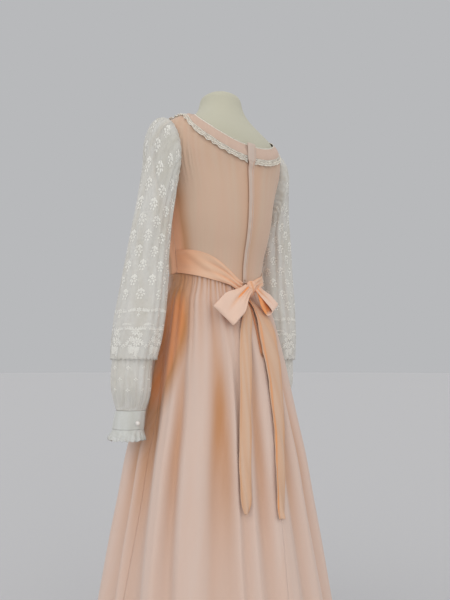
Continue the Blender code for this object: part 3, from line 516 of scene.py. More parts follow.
def plan_point(angle, half_width, side_y, front_y, back_y, squareness):
    """x and y of a rounded plan outline at angles in degrees."""
    c = np.cos(np.radians(angle))
    s = np.sin(np.radians(angle))
    x = half_width * np.sign(c) * np.abs(c) ** (2 / squareness)
    reach = np.where(s > 0, back_y - side_y, side_y - front_y)
    return x, side_y + reach * np.sign(s) * np.abs(s) ** (2 / squareness)


def points_of(x, y, z):
    return np.stack(np.broadcast_arrays(x, y, z), axis=-1).astype(float)


def unit(vectors):
    return vectors / np.linalg.norm(vectors, axis=-1, keepdims=True)


def body(angle, z):
    widths = [smooth_read(BODY, column, z) for column in BodyRow._fields[1:]]
    x, y = plan_point(angle, *widths, TORSO_SQUARENESS)
    return points_of(x, y, z)


def body_normal(angle, z):
    around = body(angle + 0.5, z) - body(angle - 0.5, z)
    up = body(angle, z + 0.0015) - body(angle, z - 0.0015)
    return unit(np.cross(around, up))


def off_body(angle, z, out):
    angle, z, out = np.broadcast_arrays(np.asarray(angle, float), z, out)
    return body(angle, z) + body_normal(angle, z) * out[..., None]


def down_body(angle, z, distance):
    """The heights reached by going down the torso from z over a distance."""
    z = np.array(np.broadcast_arrays(z, angle)[0], float)
    for _ in range(DOWN_STEPS):
        step = np.linalg.norm(body(angle, z) - body(angle, z - SHORT_WAY), axis=-1)
        z = z - SHORT_WAY * np.asarray(distance) / DOWN_STEPS / step
    return z


def neckline(angle):
    s = np.sin(np.radians(angle))
    shoulder = np.where(np.cos(np.radians(angle)) > 0, NECK_Z_LEFT, NECK_Z_RIGHT)
    end = np.where(s > 0, NECK_Z_BACK, NECK_Z_FRONT)
    return mix(shoulder, end, np.abs(s) ** 2.4)


def waist_seam(angle):
    s = np.sin(np.radians(angle))
    return mix(WAIST_Z_SIDE, np.where(s > 0, WAIST_Z_BACK, WAIST_Z_FRONT), s * s)


def bodice_out(z):
    """How far the bodice's inner face stands off the torso: more at the bust and the waist."""
    bust = between(z, 1.07, 1.16, 1.22, 1.295)
    waist = 1 - ramp(z, 1.06, 1.12)
    return FORM_CLEARANCE + 0.0030 * bust + 0.0008 * waist + 0.0012 * ramp(z, 1.27, 1.33)


print("torso at the waist is", np.round(body(90.0, 1.04), 3))

# %% [markdown]
# ## Making a cloth
#
# A cloth is a grid of points in rows, turned into faces, with its own UV map in metres so that the
# weave keeps its real size, and a value of painted shading on each point: painted shade in folds,
# and painted light in the sleeve's shadow. A Solidify modifier gives it its thickness on the inner
# side and is applied. The grid is kept beside the object, so that seams and embroidery can be laid
# on it later at any row and column.

# %% Finishing and seating a piece


def select_only(piece):
    bpy.ops.object.select_all(action="DESELECT")
    piece.select_set(True)
    bpy.context.view_layer.objects.active = piece


def apply_modifiers(piece):
    select_only(piece)
    for modifier in list(piece.modifiers):
        bpy.ops.object.modifier_apply(modifier=modifier.name)


def seat(piece, *replaced):
    """Rides a finished piece on the one body and hides the CAD nodes that it stands for."""
    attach(piece, "root")
    if replaced:
        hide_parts(*replaced)
    print(f"{piece.name}: {len(piece.data.polygons)} faces")


def link_mesh(name, mesh, material):
    mesh.materials.append(material)
    mesh.shade_smooth()
    made = bpy.data.objects.new(name, mesh)
    bpy.context.scene.collection.objects.link(made)
    return made


def mesh_piece(name, points, faces, material, *replaced):
    """A solid piece from vertices and faces, with its faces turned outwards."""
    mesh = bpy.data.meshes.new(name)
    mesh.from_pydata([tuple(p) for p in points], [], faces)
    made = link_mesh(name, mesh, material)
    select_only(made)
    bpy.ops.object.mode_set(mode="EDIT")
    bpy.ops.mesh.select_all(action="SELECT")
    bpy.ops.mesh.normals_make_consistent(inside=False)
    bpy.ops.object.mode_set(mode="OBJECT")
    seat(made, *replaced)
    return made


# %% Cloth maker
Cloth = namedtuple("Cloth", "object points normals closed")
PANEL_THICKNESS = 0.0007
NET_THICKNESS = 0.0004
STRIP_THICKNESS = 0.0005
FOLDED_THICKNESS = 0.0008
SASH_THICKNESS = 0.0009


def grid_normals(points, closed):
    if closed:
        around = np.roll(points, -1, axis=1) - np.roll(points, 1, axis=1)
    else:
        around = np.gradient(points, axis=1)
    return unit(np.cross(around, np.gradient(points, axis=0)) + 1e-12)


def cloth_uv(points, closed):
    """U along each row and V down the rows, in metres; closed grids get one more column."""
    around = np.concatenate([points, points[:, :1]], axis=1) if closed else points
    steps = np.linalg.norm(np.diff(around, axis=1), axis=-1)
    u = np.concatenate([np.zeros((len(points), 1)), np.cumsum(steps, axis=1)], axis=1)
    u -= u[:, -1:] / 2
    down = np.linalg.norm(np.diff(points, axis=0), axis=-1).mean(axis=1)
    v = np.concatenate([[0.0], np.cumsum(down)])
    return np.stack([u, np.repeat(v[:, None], u.shape[1], axis=1)], axis=-1)


def mirrored(points, side):
    return points * np.array([side, 1.0, 1.0])


def axis_at(points):
    return points * np.array([0.0, 0.0, 1.0])


def outer_normals(points, inside, closed):
    """Normals of a grid that point away from what is inside, and whether its quads must turn."""
    normals = grid_normals(points, closed)
    turned = np.mean(np.sum(normals * (points - inside), axis=-1)) < 0
    return (-normals if turned else normals), turned


def make_cloth(name, node, points, material, thickness, painted_shading, inside=None, closed=False):
    """A sheet through points in a node's place; its back faces inside, or the body's axis."""
    rows, columns = points.shape[:2]
    inside = axis_at(points) if inside is None else inside
    normals, turned = outer_normals(points, inside, closed)
    quads = []
    corners = []
    for r in range(rows - 1):
        for c in range(columns if closed else columns - 1):
            square = [(r, c), (r, c + 1), (r + 1, c + 1), (r + 1, c)]
            if turned:
                square.reverse()
            quads.append([i * columns + j % columns for i, j in square])
            corners.extend(square)
    mesh = bpy.data.meshes.new(name)
    mesh.from_pydata(points.reshape(-1, 3).tolist(), [], quads)
    corners = np.array(corners)
    coords = cloth_uv(points, closed)[corners[:, 0], corners[:, 1]]
    mesh.uv_layers.new(name="cloth").data.foreach_set("uv", coords.ravel())
    values = np.clip(painted_shading * np.ones((rows, columns)), 0, 1)
    mesh.attributes.new("painted_shading", "FLOAT", "POINT").data.foreach_set("value", values.ravel())
    made = link_mesh(name, mesh, material)
    wall = made.modifiers.new("thickness", "SOLIDIFY")
    wall.thickness = thickness
    wall.offset = -1.0
    apply_modifiers(made)
    seat(made, node)
    return Cloth(made, points, normals, closed)


def on_cloth(cloth, rows, columns, out=0.0):
    """Points at fractional rows and columns of a cloth, moved out along its normals."""
    n_rows, n_columns = cloth.points.shape[:2]
    rows = np.clip(rows, 0, n_rows - 1.0001)
    columns = columns % n_columns if cloth.closed else np.clip(columns, 0, n_columns - 1.0001)
    r, c = np.floor(rows).astype(int), np.floor(columns).astype(int)
    s, t = (rows - r)[..., None], (columns - c)[..., None]
    d = (c + 1) % n_columns
    place, way = [mix(mix(grid[r, c], grid[r, d], t), mix(grid[r + 1, c], grid[r + 1, d], t), s)
                  for grid in (cloth.points, cloth.normals)]
    return place + unit(way) * np.asarray(out)[..., None]


# %% [markdown]
# ## Form and stand
#
# A shop form is a hard moulded torso under a stretched knit cover. The CAD torso has the right
# shape but flat facets, so a copy of it is merged and smoothed by a Subdivision Surface. The stand
# is a spun foot and a tube, both extruded ring by ring from a plain circle.

# %% Torso


def smooth_torso():
    piece = nodes["form_torso"].copy()
    piece.data = piece.data.copy()
    piece.parent = None
    for key in list(piece.keys()):
        if key.startswith("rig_"):
            del piece[key]
    piece.name = "covered_torso"
    bpy.context.scene.collection.objects.link(piece)
    select_only(piece)
    bpy.ops.object.mode_set(mode="EDIT")
    bpy.ops.mesh.select_all(action="SELECT")
    bpy.ops.mesh.remove_doubles(threshold=0.00001)
    bpy.ops.mesh.tris_convert_to_quads()
    bpy.ops.object.mode_set(mode="OBJECT")
    soft = piece.modifiers.new("soft", "SUBSURF")
    soft.levels = soft.render_levels = 2
    apply_modifiers(piece)
    piece.data.shade_smooth()
    piece.data.materials.clear()
    piece.data.materials.append(JERSEY)
    seat(piece, "form_torso")


smooth_torso()

# %% Stand
SHARP_ANGLE = math.radians(35)


def spun_solid(name, profile, columns, material):
    """A round piece, extruded ring by ring from a circle and scaled to each radius."""
    bpy.ops.object.select_all(action="DESELECT")
    radius, z = profile[0]
    bpy.ops.mesh.primitive_circle_add(vertices=columns, radius=radius, location=(0, 0, z),
                                      fill_type="NGON")
    piece = bpy.context.object
    piece.name = name
    bpy.ops.object.transform_apply(location=True, rotation=False, scale=False)
    bpy.ops.object.mode_set(mode="EDIT")
    bpy.ops.mesh.select_all(action="SELECT")
    for next_radius, next_z in profile[1:]:
        bpy.ops.mesh.extrude_region_move(TRANSFORM_OT_translate={"value": (0, 0, next_z - z)})
        scale = next_radius / radius
        bpy.ops.transform.resize(value=(scale, scale, 1), center_override=(0, 0, next_z))
        radius, z = next_radius, next_z
    bpy.ops.mesh.select_all(action="SELECT")
    bpy.ops.mesh.normals_make_consistent(inside=False)
    bpy.ops.object.mode_set(mode="OBJECT")
    bpy.ops.object.shade_smooth_by_angle(angle=SHARP_ANGLE)
    piece.data.materials.append(material)
    return piece


# Radius and height of each ring, from the bottom up
FOOT = [(0.1655, 0.0), (0.1690, 0.0015), (0.1700, 0.0040), (0.1695, 0.0070), (0.1670, 0.0092),
        (0.1500, 0.0100), (0.1100, 0.0133), (0.0620, 0.0180), (0.0400, 0.0205), (0.0330, 0.0220)]
POLE = [(0.0140, 0.0223), (0.0190, 0.0223), (0.0190, 0.0480), (0.0180, 0.0500), (0.0140, 0.0500),
        (0.0140, 0.8180), (0.0200, 0.8190), (0.0240, 0.8430), (0.0240, 0.8447)]
seat(spun_solid("spun_foot", FOOT, 96, PAINTED_STEEL), "stand_base")
seat(spun_solid("tube_pole", POLE, 48, PAINTED_STEEL), "stand_pole")

# %% [markdown]
# ## Bodice
#
# Each back is cut in one piece from the centre zip to the side seam, gathered a little under the
# neckband and above the sash. The rows run from the centre line to the side, and above the
# underarm they fan from the neckline to the armhole, which is how the pattern's edge runs. They
# come in level at the underarm, so that none crosses the armhole's foot.

# %% Bodice panels
ARMHOLE_Z, ARMHOLE_HEIGHT, ARMHOLE_ANGLE = 1.310, 0.070, 25.0
LOW_ROWS, ARM_ROWS, PANEL_COLUMNS = 46, 34, 56


def armhole(turn):
    t = np.radians(turn)
    return ARMHOLE_ANGLE * np.sin(t), ARMHOLE_Z + ARMHOLE_HEIGHT * np.cos(t)


def neck_seam(angle):
    return down_body(angle, neckline(angle), NECKBAND_WIDTH - NECKBAND_LAP)


def panel_grid(centre_angle, side):
    """Angles and heights of half a bodice, rows from the waist up, columns from the centre."""
    turn = np.linspace(0, 1, ARM_ROWS + 1)[1:]
    neck_angle = mix(centre_angle, 0.0, turn)
    seam_angle = np.concatenate([[centre_angle], neck_angle])
    neck_z = neck_seam(seam_angle if side > 0 else 180 - seam_angle)
    arm_angle, arm_z = armhole(180 * (1 - turn))
    k = np.linspace(0, 1, LOW_ROWS)
    low_centre = mix(waist_seam(centre_angle), neck_z[0], k)
    low_edge = mix(waist_seam(0.0), ARMHOLE_Z - ARMHOLE_HEIGHT, k)
    start_angle = np.concatenate([np.full(LOW_ROWS, centre_angle), neck_angle])
    start_z = np.concatenate([low_centre, neck_z[1:]])
    end_angle = np.concatenate([np.zeros(LOW_ROWS), np.copysign(arm_angle, centre_angle)])
    end_z = np.concatenate([low_edge, arm_z])
    low = np.concatenate([1 - k, np.zeros(ARM_ROWS)])
    bend = np.concatenate([np.full(LOW_ROWS, 2.0), 1.1 + 0.9 * (1 - turn) ** 3])
    u = np.linspace(0, 1, PANEL_COLUMNS)[None, :]
    angle = mix(start_angle[:, None], end_angle[:, None], u)
    settle = mix(1 - (1 - u) ** bend[:, None], u, low[:, None])
    curve = waist_seam(angle) - mix(waist_seam(centre_angle), waist_seam(0.0), settle)
    z = mix(start_z[:, None], end_z[:, None], settle) + curve * low[:, None]
    return angle, z, u


# %% Bodice gathers
NECK_GATHERS = Gathering(8.2, 1.3, 0.0013)
SHOULDER_GATHERS = Gathering(4.1, 3.4, 0.0022)
SASH_GATHERS = Gathering(5.2, 4.1, 0.0013)
# The right half's gathers start this many degrees on, so that they don't mirror the left's
RIGHT_SHIFT = 31


def bodice_relief(angle, z, u, shift):
    """Soft gathers under the neckband, by the armhole and above the sash, and a slack fold."""
    turn = np.abs(angle)
    below_neck = np.maximum(neck_seam(angle) - z, 0)
    above_waist = np.maximum(z - waist_seam(angle), 0)
    by_armhole = hump(turn, 27, 13) * ramp(z, 1.20, 1.29)
    slack = hump(turn, 50, 7) * between(z, 1.08, 1.15, 1.20, 1.30)
    hollow = hump(turn, 66, 10) * between(z, 1.10, 1.18, 1.26, 1.33)
    relief = 0.0018 * slack - 0.0008 * hollow + 0.0008 * by_armhole
    for kind, share in ((NECK_GATHERS, np.exp(-below_neck / 0.060)),
                        (SHOULDER_GATHERS, by_armhole),
                        (SASH_GATHERS, np.exp(-above_waist / 0.040))):
        relief = relief + kind.height * crests(kind, angle + shift) * share
    seam_free = 1 - np.abs(2 * u - 1) ** 10
    return seam_free * relief - 0.0002


def bodice_painted_shading(angle, z, shift, at_back):
    """Painted shading: painted shade in the gathers' valleys, painted light in the sleeve's shadow
    ringed by painted shade, and a warmer tone towards the zip.
    """
    turn = np.abs(angle)
    below_neck = np.maximum(neck_seam(angle) - z, 0)
    tone = 0.14 * (1 - crests(NECK_GATHERS, angle + shift)) * np.exp(-below_neck / 0.09)
    # Painted light where the sleeve's shadow falls, passing through the fold colour's painted shade
    # at its rim
    tone = tone + 0.95 * (1 - ramp(turn, 6, 30)) * (1 - ramp(z, 1.21, 1.28))
    if at_back:
        tone = tone + 0.22 * ramp(turn, 74, 90) * (1 - ramp(z, 1.26, 1.34))
    return tone + 0.05


def bodice_half(centre_angle, side):
    angle, z, u = panel_grid(centre_angle, side)
    shift = 0 if side > 0 else RIGHT_SHIFT
    out = bodice_out(z) + CHIFFON_WALL + bodice_relief(angle, z, u, shift)
    return mirrored(off_body(angle, z, out), side), bodice_painted_shading(angle, z, shift, centre_angle > 0)


def bodice_panel(name, node, points, tone):
    return make_cloth(name, node, points, chiffon["bodice"], PANEL_THICKNESS, tone)


left_half, right_half = bodice_half(-90.0, 1), bodice_half(-90.0, -1)
joined = [np.concatenate([right[:, ::-1], left[:, 1:]], axis=1)
          for right, left in zip(right_half, left_half)]
front_bodice = bodice_panel("front_bodice", "bodice_front", *joined)
left_back_bodice = bodice_panel("left_back_bodice", "bodice_back_left", *bodice_half(90.0, 1))
right_back_bodice = bodice_panel("right_back_bodice", "bodice_back_right", *bodice_half(90.0, -1))

# %% [markdown]
# ## Skirt
#
# Three flared panels are gathered into the waist seam. The gathers are many and small at the top,
# join into fewer folds by hand-width steps, and end as broad troughs at the hem. The main troughs
# drift as they fall, so each has its own angle at the waist, the knee and the hem.

# %% Skirt tables
SkirtRow = namedtuple("SkirtRow", "z side front back")
SKIRT = in_mm(SkirtRow,
    (40, 322, 322, 322), (180, 299, 299, 299), (310, 276, 276, 276), (450, 251, 250, 252),
    (550, 231, 229, 234), (644, 213, 210, 217), (720, 193, 190, 200), (790, 177, 173, 184),
    (850, 165, 155, 170), (900, 154, 138, 155), (950, 143.5, 123, 138), (1000, 132, 108, 119),
    (1060, 116, 93, 104))

# A trough's or a crest's angle at the waist, at knee height and at the hem, its width to either
# side in degrees, and how far it goes in or out
Line = namedtuple("Line", "waist knee hem width depth")
TROUGHS = rows_of(Line,
    (-3, 3, 9, 12, 0.027), (22.5, 24.5, 30, 7, 0.016), (49, 52, 52, 12, 0.022),
    (64, 64, 67, 5, 0.01), (78, 75, 78, 7, 0.016), (94, 96, 98, 8, 0.015),
    (106, 112, 119, 7, 0.014), (129, 132, 135, 11, 0.02), (150, 152, 153, 8, 0.013),
    (171, 173, 175, 11, 0.022), (191, 189, 188, 9, 0.017), (210, 212, 213, 11, 0.02),
    (231, 232, 234, 8, 0.013), (249, 250, 252, 10, 0.019), (270, 270, 270, 11, 0.017),
    (291, 291, 290, 9, 0.016), (309, 309, 308, 11, 0.02), (328, 329, 330, 9, 0.014),
    (346, 349, 351, 9, 0.016))
# Narrow crests that catch the light beside some troughs
CRESTS = rows_of(Line,
    (19.5, 20, 18.5, 2.6, 0.003), (58, 59.5, 62, 2.4, 0.0026), (11, 13, 17, 2.2, 0.0018),
    (36, 37, 38, 5, 0.0016), (86, 85, 86, 2.4, 0.0016), (97, 104, 108, 2.6, 0.0022),
    (121, 123, 126, 2.6, 0.0022), (142, 143, 144, 3, 0.0018), (201, 200, 199, 2.8, 0.0022),
    (240, 241, 242, 2.6, 0.002), (262, 261, 260, 2.6, 0.002), (300, 300, 299, 3, 0.0022),
    (337, 338, 340, 2.6, 0.002))
KNEE_Z = 0.60
SeamRow = namedtuple("SeamRow", "z angle")
BACK_SEAM = rows_of(SeamRow, (0.04, 81), (0.50, 84), (0.87, 87), (1.06, 90))
WAIST_GATHERS = Gathering(5.0, 0.7, 0.0034)
JOINED_GATHERS = Gathering(9.0, 2.9, 0.0034)
BROAD_FOLDS = Gathering(19.0, 5.2, 0.0026)
print(len(TROUGHS), "troughs and", len(CRESTS), "crests in the skirt")

# %% Skirt folds


def away_from(line, angle, z):
    """Degrees from a drifting line to each point."""
    high = ramp(z, KNEE_Z, WAIST_Z_SIDE)
    low = ramp(z, HEM_Z, KNEE_Z)
    at = np.where(z > KNEE_Z, mix(line.knee, line.waist, high), mix(line.hem, line.knee, low))
    return (angle - at + 180) % 360 - 180


def trough_depth(angle, z):
    """How far the troughs bring the skirt in from its crests."""
    fall = ramp(WAIST_Z_SIDE - z, -0.02, 0.50)
    depth = np.zeros(np.broadcast(angle, z).shape)
    for line in TROUGHS:
        away = np.clip(away_from(line, angle, z) / line.width, -1, 1)
        shape = 0.5 + 0.5 * np.cos(np.pi * away)
        depth = np.maximum(depth, line.depth * shape * mix(0.10, 1.0, fall))
    return depth


def from_left_seam(angle):
    """Degrees from the left side seam, below 0 in front of it."""
    return (angle + 180) % 360 - 180


def back_seam(z):
    return smooth_read(BACK_SEAM, "angle", z)


def slit_window(angle, z):
    """1 along the back opening under the bow, 0 a few millimetres to either side."""
    return hump(angle, back_seam(z), 1.4) * between(z, 0.858, 0.880, 0.985, 1.005)


def skirt_relief(angle, z):
    """Metres out from the crests: gathers at the waist, troughs and narrow crests below."""
    below = np.maximum(waist_seam(angle) - z, 0)
    reach = 0.026 + 0.018 * (0.5 + 0.5 * uneven_wave(angle / 13.0, 1.7))
    # The count of angles starts again at the left seam, so the gathers pause there
    free = 1 - hump(from_left_seam(angle), 0.0, 3.0)
    fine = np.exp(-below / reach) * ramp(below, -0.004, 0.012)
    relief = 0.0014 * np.exp(-below / 0.07)
    relief = relief - WAIST_GATHERS.height * free * fine * (1 - crests(WAIST_GATHERS, angle))
    relief = relief - (JOINED_GATHERS.height * free * between(below, 0.006, 0.05, 0.06, 0.26)
                       * (1 - crests(JOINED_GATHERS, angle)))
    broad = 0.5 - 0.5 * uneven_wave(angle / BROAD_FOLDS.spacing, BROAD_FOLDS.seed)
    relief = relief - BROAD_FOLDS.height * free * ramp(below, 0.15, 0.50) * broad
    for line in CRESTS:
        on_line = hump(away_from(line, angle, z), 0.0, line.width)
        relief = relief + line.depth * on_line * ramp(below, 0.01, 0.12)
    relief = relief - 0.0030 * slit_window(angle, z)
    return relief - trough_depth(angle, z) * ramp(below, -0.002, 0.060)


def skirt_painted_shading(angle, z):
    """How much painted shade shows: in troughs, in the waist gathers and the back slit, less towards
    the hem; and painted light in the sleeve's shadow.
    """
    below = np.maximum(waist_seam(angle) - z, 0)
    from_left = from_left_seam(angle)
    free = 1 - hump(from_left, 0.0, 3.0)
    sunk = trough_depth(angle, z) * ramp(below, -0.002, 0.060)
    tone = 0.70 * ramp(sunk, 0.001, 0.018) + 0.10 * np.exp(-below / 0.04)
    tone = tone + 0.50 * (1 - crests(WAIST_GATHERS, angle)) * np.exp(-below / 0.06) * free
    tone = tone + 0.15 * (1 - crests(JOINED_GATHERS, angle)) * hump(below, 0.08, 0.10) * free
    tone = np.minimum(tone * mix(0.18, 1.0, ramp(z, 0.38, 0.82)), 0.66)
    # Painted light: the bright deep colour where the sleeve's shadow falls on the skirt
    reach = mix(6, 36, ramp(z, 0.60, 0.96))
    painted_light_under_sleeve = (between(from_left, -18, -4, reach - 18, reach)
                     * ramp(z, 0.60, 0.80) * mix(1.0, 0.75, ramp(z, 0.97, 1.04)))
    # The back slit takes the deep colour as painted shade
    return np.maximum(tone, 0.86 * painted_light_under_sleeve) + slit_window(angle, z)


# %% Skirt panels
SKIRT_ROWS = 150
WAIST_GAP = 0.0006


def skirt_point(angle, z, relief, out):
    """A point of the skirt's outer face, moved out."""
    side, front, back = [smooth_read(SKIRT, column, z) for column in SkirtRow._fields[1:]]
    x, y = plan_point(angle, side, 0.0, -front, back, SKIRT_SQUARENESS)
    seam = waist_seam(angle)
    top = off_body(angle, seam, bodice_out(WAIST_Z_SIDE))
    hangs = ramp(seam - z, -0.002, 0.060)
    flat_x = mix(top[..., 0], x, hangs)
    flat_y = mix(top[..., 1], y, hangs)
    radius = np.hypot(flat_x, flat_y)
    scale = (radius + relief + 0.0005 + SKIRT_WALL + out) / radius
    return points_of(flat_x * scale, flat_y * scale, z)


def upright(angle):
    """A seam that keeps one angle from the waist to the hem."""
    return lambda z: angle + 0.0 * z


def skirt_panel(name, node, start, end, columns):
    """A panel between two seams, each an angle at every height; neighbours meet there."""
    level = np.linspace(0, 1, SKIRT_ROWS)[:, None] ** 1.25
    middle = mix(WAIST_Z_SIDE, HEM_Z, level)
    angle = mix(start(middle), end(middle), np.linspace(0, 1, columns)[None, :])
    z = mix(waist_seam(angle) - WAIST_GAP, HEM_Z, level)
    points = skirt_point(angle, z, skirt_relief(angle, z), 0.0)
    return make_cloth(name, node, points, chiffon["skirt"], PANEL_THICKNESS, skirt_painted_shading(angle, z))


left_skirt, right_skirt, front_skirt = [skirt_panel(*row) for row in (
    ("left_back_skirt", "skirt_back_left", upright(0.0), back_seam, 160),
    ("right_back_skirt", "skirt_back_right", back_seam, upright(180.0), 150),
    ("front_skirt", "skirt_front", upright(180.0), upright(360.0), 250),
)]

# %% [markdown]
# ## Sleeves
#
# A full bishop sleeve: gathered into the armhole, widening to a scalloped flounce edge below the
# elbow, then a second tier gathered into a narrow cuff. Each tier is a tube through slanted rings,
# smoothed between them, with lengthwise folds that are deepest where the cloth is gathered.

# %% Sleeve rings
SleeveRing = namedtuple("SleeveRing", "outer_x outer_z inner_x inner_z y half_depth")
UPPER_SLEEVE = in_mm(SleeveRing,
    (166, 1388, 150, 1236, 14, 59), (181, 1386, 151, 1230, 17, 62),
    (193, 1370, 151.5, 1222, 19, 60), (201, 1340, 151.5, 1211, 20, 55),
    (208, 1295, 151, 1196, 21, 48), (221, 1230, 150, 1175, 18, 43),
    (233, 1160, 152, 1136, 12, 44.5), (244.5, 1080, 155.5, 1074, 4, 49),
    (257, 1000, 157.5, 1000, 0, 55), (266.6, 930, 162.6, 930, -6, 61),
    (269, 895, 167, 895, -10, 61), (271, 864, 175, 864, -12, 57.5))
LOWER_SLEEVE = in_mm(SleeveRing,
    (266.5, 862, 183, 862, -13, 50), (268.5, 835, 186.5, 835, -14.5, 50),
    (267.5, 795, 187, 795, -16, 48.5), (263, 774, 189.5, 774, -17, 43),
    (257, 751.8, 195.5, 751.8, -18, 34.5))
CUFF = in_mm(SleeveRing,
    (257, 751.5, 195.5, 751.5, -18, 34.5), (262, 732, 197, 732, -19, 35.5),
    (264.5, 712, 198.5, 712, -20, 36))
CUFF_RUFFLE = in_mm(SleeveRing,
    (264.5, 711.7, 198.5, 711.7, -20, 36), (268, 700, 199, 700, -20.5, 38.5),
    (272, 687, 199.5, 687, -21, 41))
SLEEVE_COLUMNS = 132
EVEN_TURNS = np.arange(SLEEVE_COLUMNS) / SLEEVE_COLUMNS * 360
ARMHOLE_STANDOFF = 0.0011


def ring_points(row, out=0.0):
    """A slanted ring; turn 0 is its outer end and 90 faces the back."""
    t = np.radians(EVEN_TURNS)[:, None]
    middle = np.array([(row.outer_x + row.inner_x) / 2, row.y, (row.outer_z + row.inner_z) / 2])
    reach = np.array([row.outer_x - row.inner_x, 0.0, row.outer_z - row.inner_z]) / 2
    half = np.linalg.norm(reach)
    return (middle + reach / half * (half + out) * np.cos(t)
            + np.array([0, 1, 0]) * (row.half_depth + out) * np.sin(t))


def armhole_points():
    angle, z = armhole(EVEN_TURNS)
    return off_body(angle, z, bodice_out(z) + CHIFFON_WALL + LAP + ARMHOLE_STANDOFF)


def through_rings(rings, rows):
    """A smooth grid through a stack of rings, spaced evenly along its mean length."""
    steps = np.linalg.norm(np.diff(rings, axis=0), axis=-1).mean(axis=1)
    at = np.concatenate([[0], np.cumsum(steps)])
    want = np.linspace(0, at[-1], rows)
    return smooth_curve(at, rings, np.gradient(rings, at, axis=0), want), want


print("armhole ring", np.round(np.ptp(armhole_points(), axis=0), 3), "m across")

# %% Sleeve folds
# Each gives metres out, from the length down its tier, the turn round it and its whole length
CAP_TUCKS = Gathering(12.0, 0.4, 0.0019)
ARM_FOLDS = Gathering(27.0, 2.2, 0.0032)
SLACK_FOLDS = Gathering(47.0, 1.1, 0.0018)
WRIST_GATHERS = Gathering(9.0, 3.3, 0.0030)
WRIST_FOLDS = Gathering(21.0, 0.9, 0.0026)
FLOUNCE_SCALLOPS, FLOUNCE_TIP = 34, 0.0045
RUFFLE_SCALLOPS, RUFFLE_TIP = 22, 0.0030


def upper_relief(length, turn, total):
    """Curved tucks at the shoulder, slack folds down the arm and a flatter lace border."""
    bent = turn + 26 * np.sin(14 * length)
    cap = CAP_TUCKS.height * (crests(CAP_TUCKS, bent) - 0.9) * hump(length, 0.03, 0.050)
    long = gathers(turn / ARM_FOLDS.spacing + 0.9 * length, ARM_FOLDS.seed) - 0.8
    slack = uneven_wave(turn / SLACK_FOLDS.spacing + 3.6 * length, SLACK_FOLDS.seed)
    folds = (ARM_FOLDS.height * long * ramp(length, 0.03, 0.12)
             + SLACK_FOLDS.height * slack * ramp(length, 0.05, 0.2))
    border = 1 - 0.45 * ramp(length, total - 0.10, total - 0.05)
    return (cap + folds * border) * ramp(length, 0.0, 0.012)


def lower_relief(length, turn, total):
    """Gathers that deepen towards the cuff."""
    near = ramp(length, total - 0.085, total - 0.012) * (1 - 0.8 * ramp(length, total - 0.01, total))
    fine = WRIST_GATHERS.height * (crests(WRIST_GATHERS, turn) - 0.85) * near
    long = WRIST_FOLDS.height * (gathers(turn / WRIST_FOLDS.spacing + length, WRIST_FOLDS.seed) - 0.8)
    return (fine + long * ramp(total - length, 0.0, 0.03)) * ramp(length, 0.0, 0.035)


def cuff_relief(length, turn, total):
    return 0.0004 * uneven_wave(turn / 30.0, 0.3) + 0.0 * length


def ruffle_relief(length, turn, total):
    waves = 0.0042 * uneven_wave(turn / 24.0, 1.7) + 0.0012 * uneven_wave(turn / 9.0, 0.6)
    return ramp(length, 0.0, total) * waves


def scallop(turn, count, height):
    """How far up a scalloped edge is cut, from 0 at each tip."""
    return height * (1 - np.abs(np.sin(np.radians(turn * count / 2))))


def flounce_drop(length, turn, total):
    edge = FLOUNCE_TIP - scallop(turn, FLOUNCE_SCALLOPS, FLOUNCE_TIP)
    return edge * ramp(length, total - 0.012, total)


def ruffle_drop(length, turn, total):
    return -scallop(turn, RUFFLE_SCALLOPS, RUFFLE_TIP) * ramp(length, total * 0.55, total)


# %% Sleeve tiers
UNDER_FLOUNCE = -0.0022
CUFF_OUT = 0.0006
# Sleeve valleys this deep take full painted shade, though the net's material does not read it
FULL_PAINTED_SHADE_DEPTH = 0.003
Tier = namedtuple("Tier", "part node top rings out rows relief drop material")
TIERS = [
    Tier("upper_sleeve", "sleeve_upper", armhole_points(), UPPER_SLEEVE, 0.0, 120,
         upper_relief, flounce_drop, SLEEVE_NET),
    Tier("lower_sleeve", "sleeve_lower", ring_points(UPPER_SLEEVE[-2], UNDER_FLOUNCE),
         LOWER_SLEEVE, 0.0, 70, lower_relief, None, SLEEVE_NET),
    Tier("cuff", "cuff", None, CUFF, CUFF_OUT, 24, cuff_relief, None, CUFF_NET),
    Tier("cuff_ruffle", "cuff_ruffle", None, CUFF_RUFFLE, 0.0, 18, ruffle_relief, ruffle_drop,
         CUFF_NET),
]


def sleeve_tier(side_name, side, tier):
    """A tube through a tier's rings; its relief gives the folds, and its drop the edge."""
    rings = [ring_points(row, tier.out) for row in tier.rings]
    if tier.top is not None:
        rings.insert(0, tier.top)
    grid, length = through_rings(np.array(rings), tier.rows)
    centres = grid.mean(axis=1, keepdims=True)
    where = (length[:, None], EVEN_TURNS[None, :], length[-1])
    rise = tier.relief(*where)
    points = grid + outer_normals(grid, centres, True)[0] * rise[..., None]
    if tier.drop:
        points[..., 2] -= tier.drop(*where)
    return make_cloth(f"{side_name}_{tier.part}", f"{tier.node}_{side_name}",
                      mirrored(points, side), tier.material, NET_THICKNESS,
                      -rise / FULL_PAINTED_SHADE_DEPTH, mirrored(centres, side), closed=True)


left_sleeve = [sleeve_tier("left", 1, tier) for tier in TIERS]
right_sleeve = [sleeve_tier("right", -1, tier) for tier in TIERS]

# %% [markdown]
# ## Embroidery on the sleeves
#
# Satin stitch raises small white petals off the net. Sprigs of ten petals stand in half-drop rows,
# then comes a row of feathered wings, and a border of close lace-like motifs ends the upper tier.
# One petal is a low six-sided facet, a little raised in its middle. Each motif is a short chart of
# petals in millimetres, and the charts are laid on the finished cloth at their rows and turns.

